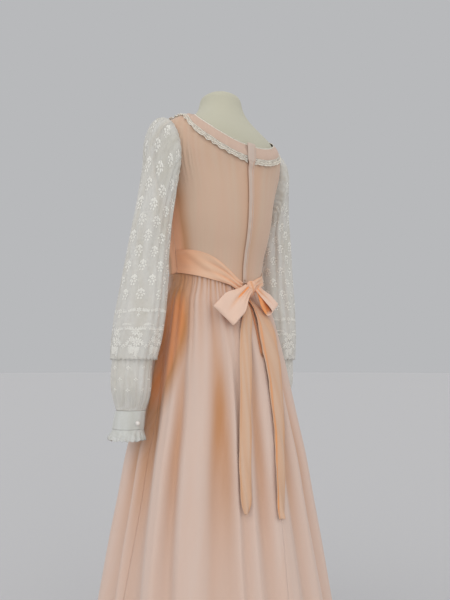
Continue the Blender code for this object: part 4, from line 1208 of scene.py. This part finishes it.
# %% Petal charts
Petal = namedtuple("Petal", "x y angle length width")
SPRIG = rows_of(Petal,
    (0, -9, 90, 7, 5), (-5, -7, 130, 6, 4), (5, -7, 50, 6, 4), (0, -3, 90, 4, 4),
    (-8, 1, 150, 6, 3.5), (-4, 4, 110, 5, 3), (3, 3, 70, 6, 3.5), (7, 0, 30, 5, 3),
    (1, 10, 90, 5, 3), (-5, 10, 120, 4, 2.5))
SMALL_SPRIG = rows_of(Petal,
    (0, 0, 90, 4, 2.5), (-3, 3, 140, 4, 2), (3, 3, 40, 4, 2), (0, 6, 90, 4, 1.5))
STEM_STEP = 3.4


def ring_flower(x, y, radius, count):
    """Petals round a small button of stitches."""
    made = [Petal(x, y, 0, 0.7 * radius, 0.7 * radius)]
    for k in range(count):
        a = math.radians(360 * k / count + 90)
        made.append(Petal(x + radius * math.cos(a), y + radius * math.sin(a), math.degrees(a),
                          0.95 * radius, 4.4 * radius / count))
    return made


def feathered_stem(x, y, heading, bend, steps, leaf):
    """A curling stem with a pair of leaves at each step."""
    made = []
    for k in range(steps):
        a = math.radians(heading + bend * k / steps)
        x += STEM_STEP * math.cos(a)
        y += STEM_STEP * math.sin(a)
        made.append(Petal(x, y, math.degrees(a), 4.4, 1.5))
        size = leaf * (1 - 0.45 * k / steps)
        for b in (a - 0.9, a + 0.9):
            made.append(Petal(x + 0.6 * size * math.cos(b), y + 0.6 * size * math.sin(b),
                              math.degrees(b), size, 0.42 * size))
    return made


def motif(flowers, stems):
    """One chart of ring flowers and feathered stems."""
    made = []
    for row in flowers:
        made += ring_flower(*row)
    for row in stems:
        made += feathered_stem(*row)
    return made


WING = motif([(0, -1, 3.6, 6)],
             [(-5, 1, 200, -50, 5, 5.0), (5, 1, -20, 50, 5, 5.0), (0, 5, 90, 30, 2, 4.0)])
LACE_MOTIF = motif([(-2, -20, 6.0, 8), (4, 3, 7.0, 9), (-9, -3, 4.5, 7), (9, -12, 4.0, 7)],
                   [(-6, 8, 120, -60, 6, 6.5), (4, 12, 70, 40, 6, 6.5), (0, 10, 95, 10, 5, 5.5),
                    (3, -22, -50, 80, 5, 5.5), (-8, -22, 230, -80, 5, 5.0),
                    (10, 2, 20, 70, 3, 5.0), (-12, 2, 160, -70, 3, 5.0)])
VINE = motif([], [(-12, 0, -25, 50, 7, 3.6)])
print("petals:", len(SPRIG), "in a sprig,", len(WING), "in a wing,", len(LACE_MOTIF), "in lace")

# %% Lay the charts on the net
SIDES = 6
LENGTH_SHARE, WIDTH_SHARE = 0.60, 0.64
RIM_OUT, TOP_OUT, UNDER_OUT = 0.00006, 0.00018, -0.0002


def stitched(cloth, total, charts):
    """Vertices and faces of petals; a chart has its petals, its turn and its height off the edge."""
    rows, columns = cloth.points.shape[:2]
    table, at_row, at_column = [], [], []
    for petals, turn, height in charts:
        row = (1 - height / total) * (rows - 1)
        around = np.roll(cloth.points[int(row)], -1, axis=0) - cloth.points[int(row)]
        stride = np.linalg.norm(around, axis=-1).mean()
        table += petals
        at_row += [(row, (rows - 1) / total)] * len(petals)
        at_column += [(turn / 360 * columns, 1 / stride)] * len(petals)
    table, at_row, at_column = np.array(table, float), np.array(at_row), np.array(at_column)
    spin = np.radians(table[:, 2:3])
    k = np.radians(np.arange(SIDES) * 360 / SIDES)[None, :]
    along = np.cos(k) * table[:, 3:4] * LENGTH_SHARE
    across = np.sin(k) * table[:, 4:5] * WIDTH_SHARE
    # Each petal's rim, then its top and its underside, which both lie at its middle
    middles = np.zeros((len(table), 2))
    x = np.hstack([along * np.cos(spin) - across * np.sin(spin), middles])
    y = np.hstack([along * np.sin(spin) + across * np.cos(spin), middles])
    row = at_row[:, :1] + (table[:, 1:2] + y) / 1000 * at_row[:, 1:]
    column = at_column[:, :1] + (table[:, :1] + x) / 1000 * at_column[:, 1:]
    out = np.array([RIM_OUT] * SIDES + [TOP_OUT, UNDER_OUT]) * np.ones_like(row)
    points = on_cloth(cloth, np.clip(row, 0.5, rows - 1.5), column, out).reshape(-1, 3)
    faces = []
    for first in range(0, len(points), SIDES + 2):
        for k in range(SIDES):
            a, b = first + k, first + (k + 1) % SIDES
            faces += [[a, b, first + SIDES], [b, a, first + SIDES + 1]]
    return points, faces


# %% Embroider both sleeves
FIRST_TURN = 49.0
UPPER_LENGTH, LOWER_LENGTH = 0.505, 0.180
SPRIG_ROWS, SPRIGS_ROUND, BORDER_MOTIFS = 11, 8, 7
FIRST_SPRIG_HEIGHT, SPRIG_ROW_STEP = 0.145, 0.032
LOWER_ROW_HEIGHTS = (0.150, 0.118, 0.088, 0.060)


def upper_charts():
    """Half-drop rows of sprigs, a row of wings and the border."""
    charts = []
    for row in range(SPRIG_ROWS):
        for k in range(SPRIGS_ROUND):
            sway = 3 * math.sin(2.3 * row + 1.9 * k)
            turn = FIRST_TURN + 360 / SPRIGS_ROUND * (k + 0.5 * (row % 2)) + sway
            charts.append((SPRIG, turn, FIRST_SPRIG_HEIGHT + SPRIG_ROW_STEP * row))
    for k in range(BORDER_MOTIFS):
        turn = FIRST_TURN + 360 / BORDER_MOTIFS * k
        halfway = turn + 180 / BORDER_MOTIFS
        charts += [(WING, turn, 0.108 + 0.002 * math.sin(3 * k)), (LACE_MOTIF, turn, 0.040),
                   (VINE, halfway, 0.074), (SMALL_SPRIG, halfway, 0.030)]
    return charts


def lower_charts():
    return [(SMALL_SPRIG, 20 + 360 / SPRIGS_ROUND * (k + 0.5 * (row % 2)), height)
            for row, height in enumerate(LOWER_ROW_HEIGHTS) for k in range(SPRIGS_ROUND)]


def embroider(name, cloth, total, charts):
    made = mesh_piece(name, *stitched(cloth, total, charts), WHITE_FLOSS)
    made.data.shade_flat()
    return made


for side, (upper, lower, _, _) in (("left", left_sleeve), ("right", right_sleeve)):
    embroider(f"{side}_sleeve_embroidery", upper, UPPER_LENGTH, upper_charts())
    embroider(f"{side}_lower_embroidery", lower, LOWER_LENGTH, lower_charts())

# %% [markdown]
# ## Neckband, picots and lace
#
# The neckband is a bias strip, eased round the neck so that it puckers a little. Tiny picot loops
# stand on its upper edge and a narrow gathered lace hangs from its lower edge. Each is a strip laid
# along the neckline, from centre back round to centre back.

# %% Neck strips
NECK_COLUMNS, NECK_ROWS = 360, 12
BAND_START, BAND_END = 90.15, 449.85
LACE_START, LACE_END = 92.9, 447.1
LACE_WIDTH = 0.0155
BAND_TONE = 0.25


def neck_cloth(name, node, place, material, start, end):
    """A strip round the neck; place gives height and distance off the torso."""
    angle = np.linspace(start, end, NECK_COLUMNS)[None, :]
    z, out = place(angle, np.linspace(0, 1, NECK_ROWS)[:, None])
    points = off_body(angle, z, out)
    return make_cloth(name, node, points, material, STRIP_THICKNESS, BAND_TONE)


def lapped(z):
    return bodice_out(z) + CHIFFON_WALL + 2.5 * LAP


def band_place(angle, v):
    z = down_body(angle, neckline(angle), NECKBAND_WIDTH * v)
    shirring = 0.0007 * uneven_wave(angle / 2.6, 0.8) * np.sin(np.pi * v) ** 0.5
    return z, mix(FORM_CLEARANCE, lapped(z), ramp(v, 0, 0.8)) + CHIFFON_WALL + shirring


def lace_place(angle, v):
    ripple = uneven_wave(angle / 7.5, 2.4)
    cut = scallop(angle, 60, 0.0026) * ramp(v, 0.5, 1.0)
    z = down_body(angle, neckline(angle), NECKBAND_WIDTH - 0.001 + LACE_WIDTH * v - cut)
    free = np.clip(1 - hump(angle, LACE_START, 4.0) - hump(angle, LACE_END, 4.0), 0, 1)
    return z, lapped(z) + 0.0012 + (0.0026 + 0.0022 * ripple) * v * free


band = neck_cloth("neck_band", "neckband", band_place, chiffon["bands"], BAND_START, BAND_END)
lace = neck_cloth("neck_lace", "neck_ruffle_lace", lace_place, NECK_LACE, LACE_START, LACE_END)

# %% Round cords


def ring_faces(start, rings, sides):
    """Quads between rings of points that follow on each other, and a face over each end."""
    last = start + (rings - 1) * sides
    faces = [list(range(start + sides - 1, start - 1, -1)), list(range(last, last + sides))]
    for low in range(start, last, sides):
        for k in range(sides):
            j = (k + 1) % sides
            faces.append([low + k, low + j, low + sides + j, low + sides + k])
    return faces


def tube(paths, radius, sides=5):
    """Vertices and faces of closed-ended round cords along several paths."""
    points, faces = [], []
    turns = 2 * math.pi * np.arange(sides) / sides
    for path in paths:
        along = unit(np.gradient(path, axis=0))
        helper = np.where(np.abs(along[:, 2:3]) > 0.8, [[1.0, 0, 0]], [[0, 0, 1.0]])
        across = unit(np.cross(along, helper))
        over = np.cross(along, across)
        faces += ring_faces(len(points), len(path), sides)
        for centre, a, b in zip(path, across, over):
            points += [centre + radius * (a * math.cos(t) + b * math.sin(t)) for t in turns]
    return points, faces


# %% Picots and lace cords
PICOT_STEP, PICOT_HALF, PICOT_HEIGHT = 1.75, 0.80, 0.0026


def picots():
    """A row of small thread loops along the top of the neckband, on one running cord."""
    arc = np.linspace(0, np.pi, 7)
    paths = []
    for middle in np.arange(91.2, 448.9, PICOT_STEP):
        angle = middle + PICOT_HALF * np.cos(arc)
        z = down_body(angle, neckline(angle), 0.0002 - PICOT_HEIGHT * np.sin(arc))
        paths.append(off_body(angle, z, FORM_CLEARANCE + 0.0008))
    base = np.linspace(90.3, 449.7, 420)
    z = down_body(base, neckline(base), 0.0)
    paths.append(off_body(base, z, FORM_CLEARANCE + 0.0010))
    mesh_piece("neck_picots", *tube(paths, 0.00042), IVORY_CORD, "neck_picot_lace")


def lace_cords():
    """Cords of the neck lace: a wavy heading, a fine middle line and the scalloped edge."""
    columns = np.linspace(0, NECK_COLUMNS - 1, 1000)
    waves = 0.9 * np.sin(columns / 2.1)
    paths = [on_cloth(lace, row + share * waves, columns, 0.0003)
             for row, share in ((1.6, 1.0), (6.2, -0.7), (10.3, 0.4))]
    return mesh_piece("neck_lace_cords", *tube(paths, 0.00052), IVORY_CORD)


picots()
neck_lace_cords = lace_cords()

# %% [markdown]
# ## Zip placket
#
# The back opening is closed by a zip under a lapped strip of chiffon. The strip stands off the
# cloth along its open left edge, which draws a dark line beside it, and painted shade darkens that
# edge too. Its top is a folded tab over the neckband.

# %% Zip placket
PLACKET_FOOT = 1.034
PLACKET_HALF, TAB_HALF = 0.0052, 0.0068
STITCH_LINE = -0.62
BACK_RADIUS = 0.118


def placket():
    z = np.linspace(PLACKET_FOOT, NECK_Z_BACK + 0.003, 130)[:, None]
    v = np.linspace(-1, 1, 17)[None, :]
    x = v * mix(PLACKET_HALF, TAB_HALF, ramp(z, 1.302, 1.307)) - 0.0004
    below_tab = 1 - ramp(z, 1.30, 1.31)
    lip = 0.0013 * ramp(v, -0.1, 0.9) * (0.1 + 0.9 * below_tab)
    sewn = -0.0007 * hump(v, STITCH_LINE, 0.12) * (1 - ramp(z, 1.29, 1.30))
    slack = 0.0005 * uneven_wave(z / 0.035, 1.9) * (1 - v * v)
    tab = 0.0030 * ramp(z, 1.288, 1.304) + 0.0012 * ramp(z, 1.298, 1.308) * (1 - v ** 4)
    fold_over = -0.0012 * hump(z, 1.3030, 0.0016)
    out = bodice_out(z) + CHIFFON_WALL + 0.0016 + tab + lip + slack + sewn + fold_over
    points = off_body(90 - np.degrees(x / BACK_RADIUS), z, out)
    # Painted shade along the sewn line and at the lip's edge, less on the tab
    tone = 0.10 + 0.45 * hump(v, STITCH_LINE, 0.15) + 0.35 * ramp(v, 0.8, 1.0)
    return make_cloth("zip_lap", "zip_placket", points, chiffon["bands"], FOLDED_THICKNESS,
                      tone * (0.3 + 0.7 * below_tab))


zip_lap = placket()

# %% Stitches and bar tacks


def zigzag(count):
    return (-1.0) ** np.arange(count)


def stitching():
    """Machine stitches down the placket's sewn side, and zigzag bars at its foot and the slit."""
    paths = [on_cloth(zip_lap, row + np.linspace(0, 1.1, 3), np.full(3, 3.0), 0.0001)
             for row in np.arange(3.0, 126.0, 1.5)]
    paths.append(on_cloth(zip_lap, np.linspace(2.0, 3.2, 13), 8 + 4.5 * zigzag(13), 0.0002))
    z = np.linspace(0.866, 0.872, 11)
    angle = back_seam(z) + 1.1 * zigzag(11)
    paths.append(skirt_point(angle, z, skirt_relief(angle, z), 0.0003))
    mesh_piece("zip_stitches", *tube(paths, 0.00022), PEACH_THREAD)


stitching()

# %% [markdown]
# ## Sash and bow
#
# The sash is a doubled strip, sewn into the side seams and tied at the back. It lies flat at the
# side and crumples into three pleats where the knot pulls it together. The knot, the loops and the
# tails are the same strip, so they share its chiffon and its width.

# %% Sash halves
# Here z holds the angle round the waist, and each row the strip's two edges there
SashRow = namedtuple("SashRow", "z top bottom")
LEFT_SASH = rows_of(SashRow,
    (1, 1.107, 1.058), (15, 1.106, 1.053), (30, 1.102, 1.047), (45, 1.093, 1.04),
    (60, 1.077, 1.032), (72, 1.059, 1.024), (80, 1.044, 1.014), (90, 1.03, 1.008))
RIGHT_SASH = rows_of(SashRow,
    (1, 1.106, 1.058), (15, 1.098, 1.053), (28, 1.08, 1.045), (41, 1.068, 1.04), (55, 1.058, 1.033),
    (70, 1.048, 1.023), (80, 1.04, 1.014), (90, 1.03, 1.008))
PLEATS = 3


def under_sash(angle, z):
    """What the sash lies on: the bodice above the waist seam and the skirt's crests below."""
    seam = waist_seam(angle)
    upper = off_body(angle, np.maximum(z, seam), 0.0)
    stands = bodice_out(z) + CHIFFON_WALL + 0.0012 * ramp(z, 1.10, 1.33)
    upper = upper + body_normal(angle, seam) * stands[..., None]
    low_z = np.minimum(z, seam)
    waist = 0.0014 * np.exp(-(seam - low_z) / 0.07)
    sunk = trough_depth(angle, low_z) * ramp(seam - low_z, -0.002, 0.06)
    lower = skirt_point(angle, low_z, waist - sunk, 0.0)
    wide = np.linalg.norm(lower[..., :2], axis=-1) > np.linalg.norm(upper[..., :2], axis=-1)
    over_skirt = ramp(seam + 0.012 - z, 0.0, 0.012) * wide
    points = mix(upper, lower, over_skirt[..., None])
    points[..., 2] = z
    return points


def sash_half(name, node, side, table, end_angle, end_rise):
    """One half from its side seam to the knot; rows go round, columns up."""
    gathered = np.linspace(0, 1, 90)[:, None]
    v = np.linspace(0, 1, 31)[None, :]
    angle = mix(1.0, end_angle, gathered)
    z = mix(smooth_read(table, "bottom", angle), smooth_read(table, "top", angle), v)
    angle = angle + 0 * z
    seam = waist_seam(angle)
    creases = np.abs(np.sin(PLEATS * np.pi * v))
    pleats = 0.0026 * ramp(gathered, 0.25, 1.0) * creases
    drape = 0.0009 * uneven_wave(1.7 * v + 2.4 * gathered, 0.6) * ramp(gathered, 0.05, 0.3)
    hems = -0.0004 * (ramp(v, 0.0, 0.06) - ramp(v, 0.06, 0.12)
                      + ramp(v, 0.88, 0.94) - ramp(v, 0.94, 1.0))
    rise = (0.0021 + pleats + drape + hems + 0.0012 * ramp(seam - z, -0.004, 0.006)
            + end_rise * ramp(gathered, 0.8, 1.0))
    points = under_sash(angle, z) + body_normal(angle, seam) * rise[..., None]
    points = mirrored(points, side)
    # Painted shade in the pleats' valleys, and a darker tone towards the side seams
    tone = 0.55 * (1 - creases) * ramp(gathered, 0.3, 1.0)
    tone = tone + 0.60 * (1 - ramp(gathered, 0.05, 0.55)) + 0.10
    return make_cloth(name, node, points, chiffon["sash"], SASH_THICKNESS, tone)


left_sash = sash_half("sash_left_half", "sash_left", 1, LEFT_SASH, 86.0, 0.0014)
right_sash = sash_half("sash_right_half", "sash_right", -1, RIGHT_SASH, 87.5, 0.0028)

# %% Knot
KNOT_CENTRE = np.array([0.002, 0.1234, 1.019])
KNOT_HALF = np.array([0.0125, 0.0125, 0.0190])
KNOT_TILT = math.radians(-24)
KNOT_ROWS, KNOT_COLUMNS = 41, 72


def knot():
    """A round lump of wrapped ribbon: creases run aslant over it and it narrows at its ends."""
    v = np.linspace(-1, 1, KNOT_ROWS)[:, None]
    t = np.linspace(0, 2 * np.pi, KNOT_COLUMNS + 1)[None, :-1]
    bulge = np.sqrt(1 - 0.50 * v ** 2) * np.sqrt(np.clip(1 - v ** 8, 0.0, 1.0) + 0.02)
    wraps = np.abs(np.cos(2 * t + 2.6 * v + 0.5))
    creases = 1 - 0.17 * wraps ** 6 - 0.05 * np.abs(np.cos(5 * t - 4 * v)) ** 3
    x = np.cos(t) * KNOT_HALF[0] * bulge * creases
    y = np.sin(t) * KNOT_HALF[1] * bulge * creases
    z = v * KNOT_HALF[2] + 0 * t
    c, s = math.cos(KNOT_TILT), math.sin(KNOT_TILT)
    points = KNOT_CENTRE + np.stack([x * c + z * s, y, z * c - x * s], axis=-1)
    made = mesh_piece("tied_knot", points.reshape(-1, 3),
                      ring_faces(0, KNOT_ROWS, KNOT_COLUMNS), chiffon["bow"], "bow_knot")
    # Painted shade in the wrapped creases
    tone = 0.26 + 0.34 * wraps ** 6
    made.data.attributes.new("painted_shading", "FLOAT", "POINT").data.foreach_set("value", tone.ravel())
    flat = np.stack(np.broadcast_arrays(t * KNOT_HALF[0], v * KNOT_HALF[2]), axis=-1)
    corner = np.empty(len(made.data.loops), int)
    made.data.loops.foreach_get("vertex_index", corner)
    coords = flat.reshape(-1, 2)[corner]
    made.data.uv_layers.new(name="cloth").data.foreach_set("uv", coords.ravel())


knot()

# %% Loops
# Its root from the knot's middle, its fall from there, the angle that it faces, half its width,
# half the gap between its layers, and how far they slide apart
Loop = namedtuple("Loop", "root fall facing half_width spread skew seed")
LEFT_LOOP = Loop((0.0137, 0.0050, -0.001), (0.078, 0.003, -0.066), 64, 0.030, 0.0055, 0.0, 0.5)
RIGHT_LOOP = Loop((-0.0093, 0.0075, -0.001), (-0.036, 0.014, -0.050), 106, 0.0185, 0.0055,
                  -0.0075, 2.8)
ROOT_HALF_WIDTH = 0.0112


def loop_axes(loop):
    """The ways along a loop, out of its face and across its ribbon."""
    along = unit(np.array(loop.fall))
    a = math.radians(loop.facing)
    face = np.array([math.cos(a), math.sin(a), 0.15])
    face = unit(face - along * face.dot(along))
    return along, face, unit(np.cross(along, face))


def bow_loop(name, node, loop):
    """Ribbon that leaves the knot in pleats, opens flat, turns over a soft fold and comes back."""
    along, face, across = loop_axes(loop)
    t = np.linspace(0, 1, 121)[:, None]
    v = np.linspace(-1, 1, 25)[None, :]
    from_end = np.minimum(t, 1 - t)
    turn = np.pi * ramp(t, 0.34, 0.66)
    reach = np.linalg.norm(loop.fall) * (1 - np.abs(2 * t - 1) ** 1.6)
    layer = loop.spread * (np.cos(turn) * mix(0.35, 1.0, ramp(from_end, 0, 0.4)) + 1)
    half = mix(ROOT_HALF_WIDTH, loop.half_width, ramp(from_end, 0, 0.22))
    pleats = 0.0012 * uneven_wave(1.6 * v, loop.seed) * (1 - ramp(from_end, 0.02, 0.26))
    crease_line = 0.15 - 0.5 * from_end
    crease = -0.0022 * hump(v, crease_line, 0.16) * (1 - ramp(from_end, 0.06, 0.40))
    ripple = 0.0011 * uneven_wave(0.9 * v + 1.5 * t, loop.seed + 1) * ramp(from_end, 0.1, 0.4)
    sign = np.where(t < 0.5, 1.0, -1.0) * np.abs(np.cos(turn))
    aside = half * v + loop.skew * np.cos(turn) * ramp(from_end, 0, 0.2)
    spine = KNOT_CENTRE + np.array(loop.root) + along * reach[..., None]
    points = (spine + across * aside[..., None]
              + face * (layer + (pleats + ripple + crease) * sign)[..., None])
    # Painted shade at the root by the knot and in the crease; the returning inner layer takes the
    # deep colour as painted shade
    tone = 0.22 * (1 - ramp(from_end, 0.02, 0.18)) + 0.9 * ramp(t, 0.55, 0.68)
    tone = tone + 0.40 * hump(v, crease_line, 0.13) * (1 - ramp(from_end, 0.1, 0.4))
    return make_cloth(name, node, points, chiffon["bow"], SASH_THICKNESS, tone,
                      spine + face * loop.spread)


left_loop = bow_loop("left_bow_loop", "bow_loop_left", LEFT_LOOP)
right_loop = bow_loop("right_bow_loop", "bow_loop_right", RIGHT_LOOP)

# %% Tails
TailRow = namedtuple("TailRow", "z angle half_width facing lift")
LEFT_TAIL = rows_of(TailRow,
    (0.549, 64, 0.003, 64, 0), (0.568, 64.3, 0.01, 64, 0), (0.597, 64.5, 0.0122, 64, 0),
    (0.656, 65, 0.0133, 65, 0), (0.715, 66.3, 0.0132, 66, 0), (0.776, 68, 0.0132, 68, 0),
    (0.86, 71, 0.0143, 71, 0), (0.925, 75.5, 0.0145, 76, 0), (0.957, 79.6, 0.0125, 79, 0),
    (0.985, 82.5, 0.0085, 82, 0), (1.0005, 84, 0.005, 84, 0))
RIGHT_TAIL = rows_of(TailRow,
    (0.533, 83.2, 0.01, 88, 0.001), (0.596, 85, 0.0135, 90, 0.001), (0.652, 87.3, 0.015, 90, 0.001),
    (0.698, 89.8, 0.0165, 90, 0), (0.782, 93, 0.02, 87, 0.002), (0.832, 94.2, 0.022, 87, 0.003),
    (0.884, 95.5, 0.024, 86, 0.0035), (0.938, 97, 0.0235, 87, 0.0035),
    (0.965, 95.5, 0.0175, 88, 0.002), (0.985, 92.5, 0.01, 90, 0.0005), (0.996, 90.5, 0.005, 90, 0))
TAIL_CLEARANCE = 0.0020
HEM_STITCHES = 0.80


def bow_tail(name, node, table, seed, curl):
    """A tail that hangs over the skirt's crests; curl rolls its left edge and its end."""
    end = table[0].z
    z = np.linspace(table[-1].z, end, 170)[:, None]
    v = np.linspace(-1, 1, 25)[None, :]
    angle, half, facing, lift = [smooth_read(table, column, z) for column in TailRow._fields[1:]]
    a = np.radians(facing)
    outward = unit(np.stack([np.cos(a), np.sin(a), 0.12 + 0 * a], axis=-1))
    sideways = np.stack([-np.sin(a), np.cos(a), 0 * a], axis=-1)
    wave = 0.0011 * uneven_wave(z / 0.11 + 0.5 * v, seed)
    edge = curl * ramp(-v, 0.62, 1.0) * (1 + 0.25 * uneven_wave(z / 0.045, seed))
    curled_end = 2.2 * curl * (1 - ramp(z, end, end + 0.016)) * (0.5 + 0.5 * np.sin(4.0 * v))
    hem = -0.0005 * hump(np.abs(v), HEM_STITCHES, 0.06)
    rise = 0.0030 * (1 - v * v) + wave + edge + curled_end + hem + 0.0006
    centre = skirt_point(angle, z, 0.0 * z, TAIL_CLEARANCE + lift)
    points = centre + sideways * (half * v)[..., None] + outward * rise[..., None]
    # Painted shade along the hem stitches and the right edge, a painted shadow under the curled left
    # edge, painted shade high up under the bow, and an uneven tone
    tone = 0.22 + 0.30 * hump(np.abs(v), HEM_STITCHES, 0.10) + 0.40 * ramp(v, 0.88, 1.0)
    if curl > 0:
        tone = tone + 0.75 * hump(v, -0.72, 0.10)
    tone = tone + 0.12 * ramp(z, 0.90, 0.98)
    tone = tone + 0.20 * (0.5 + 0.5 * uneven_wave(z / 0.16 + 0.8 * v, seed))
    return make_cloth(name, node, points, chiffon["tails"], FOLDED_THICKNESS, tone,
                      points - outward)


left_tail = bow_tail("left_bow_tail", "bow_tail_left", LEFT_TAIL, 0.9, 0.0)
right_tail = bow_tail("right_bow_tail", "bow_tail_right", RIGHT_TAIL, 3.7, 0.0018)

# %% [markdown]
# ## Buttons
#
# Each cuff closes with one half-round pearl in a thin metal cup. The whole button is one turned
# solid: from the back of the cup out to its rim, over the rim into a fine groove, then up the
# dome. It is spun on the lathe's axis and then laid on its side, so that the dome looks back.

# %% Pearl buttons
# Shares of the button's radius, and of its half depth from the middle
PEARL_PROFILE = [(0.60, -1.0), (0.93, -0.96), (1.0, -0.80), (1.0, -0.52), (0.95, -0.40),
                 (0.91, -0.42), (0.92, -0.22), (0.88, 0.14), (0.77, 0.46), (0.60, 0.72),
                 (0.40, 0.89), (0.18, 0.98)]


def pearl(name, node):
    low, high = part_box(node)
    wide, deep = (high.x - low.x) / 2, (high.y - low.y) / 2
    profile = [(wide * radius, deep * height) for radius, height in PEARL_PROFILE]
    piece = spun_solid(name, profile, 40, PEARL)
    piece.rotation_euler.x = math.radians(-90)
    piece.location = (low + high) / 2
    bpy.ops.object.transform_apply(location=True, rotation=True, scale=False)
    seat(piece, node)


pearl("left_pearl", "pearl_button_left")
pearl("right_pearl", "pearl_button_right")
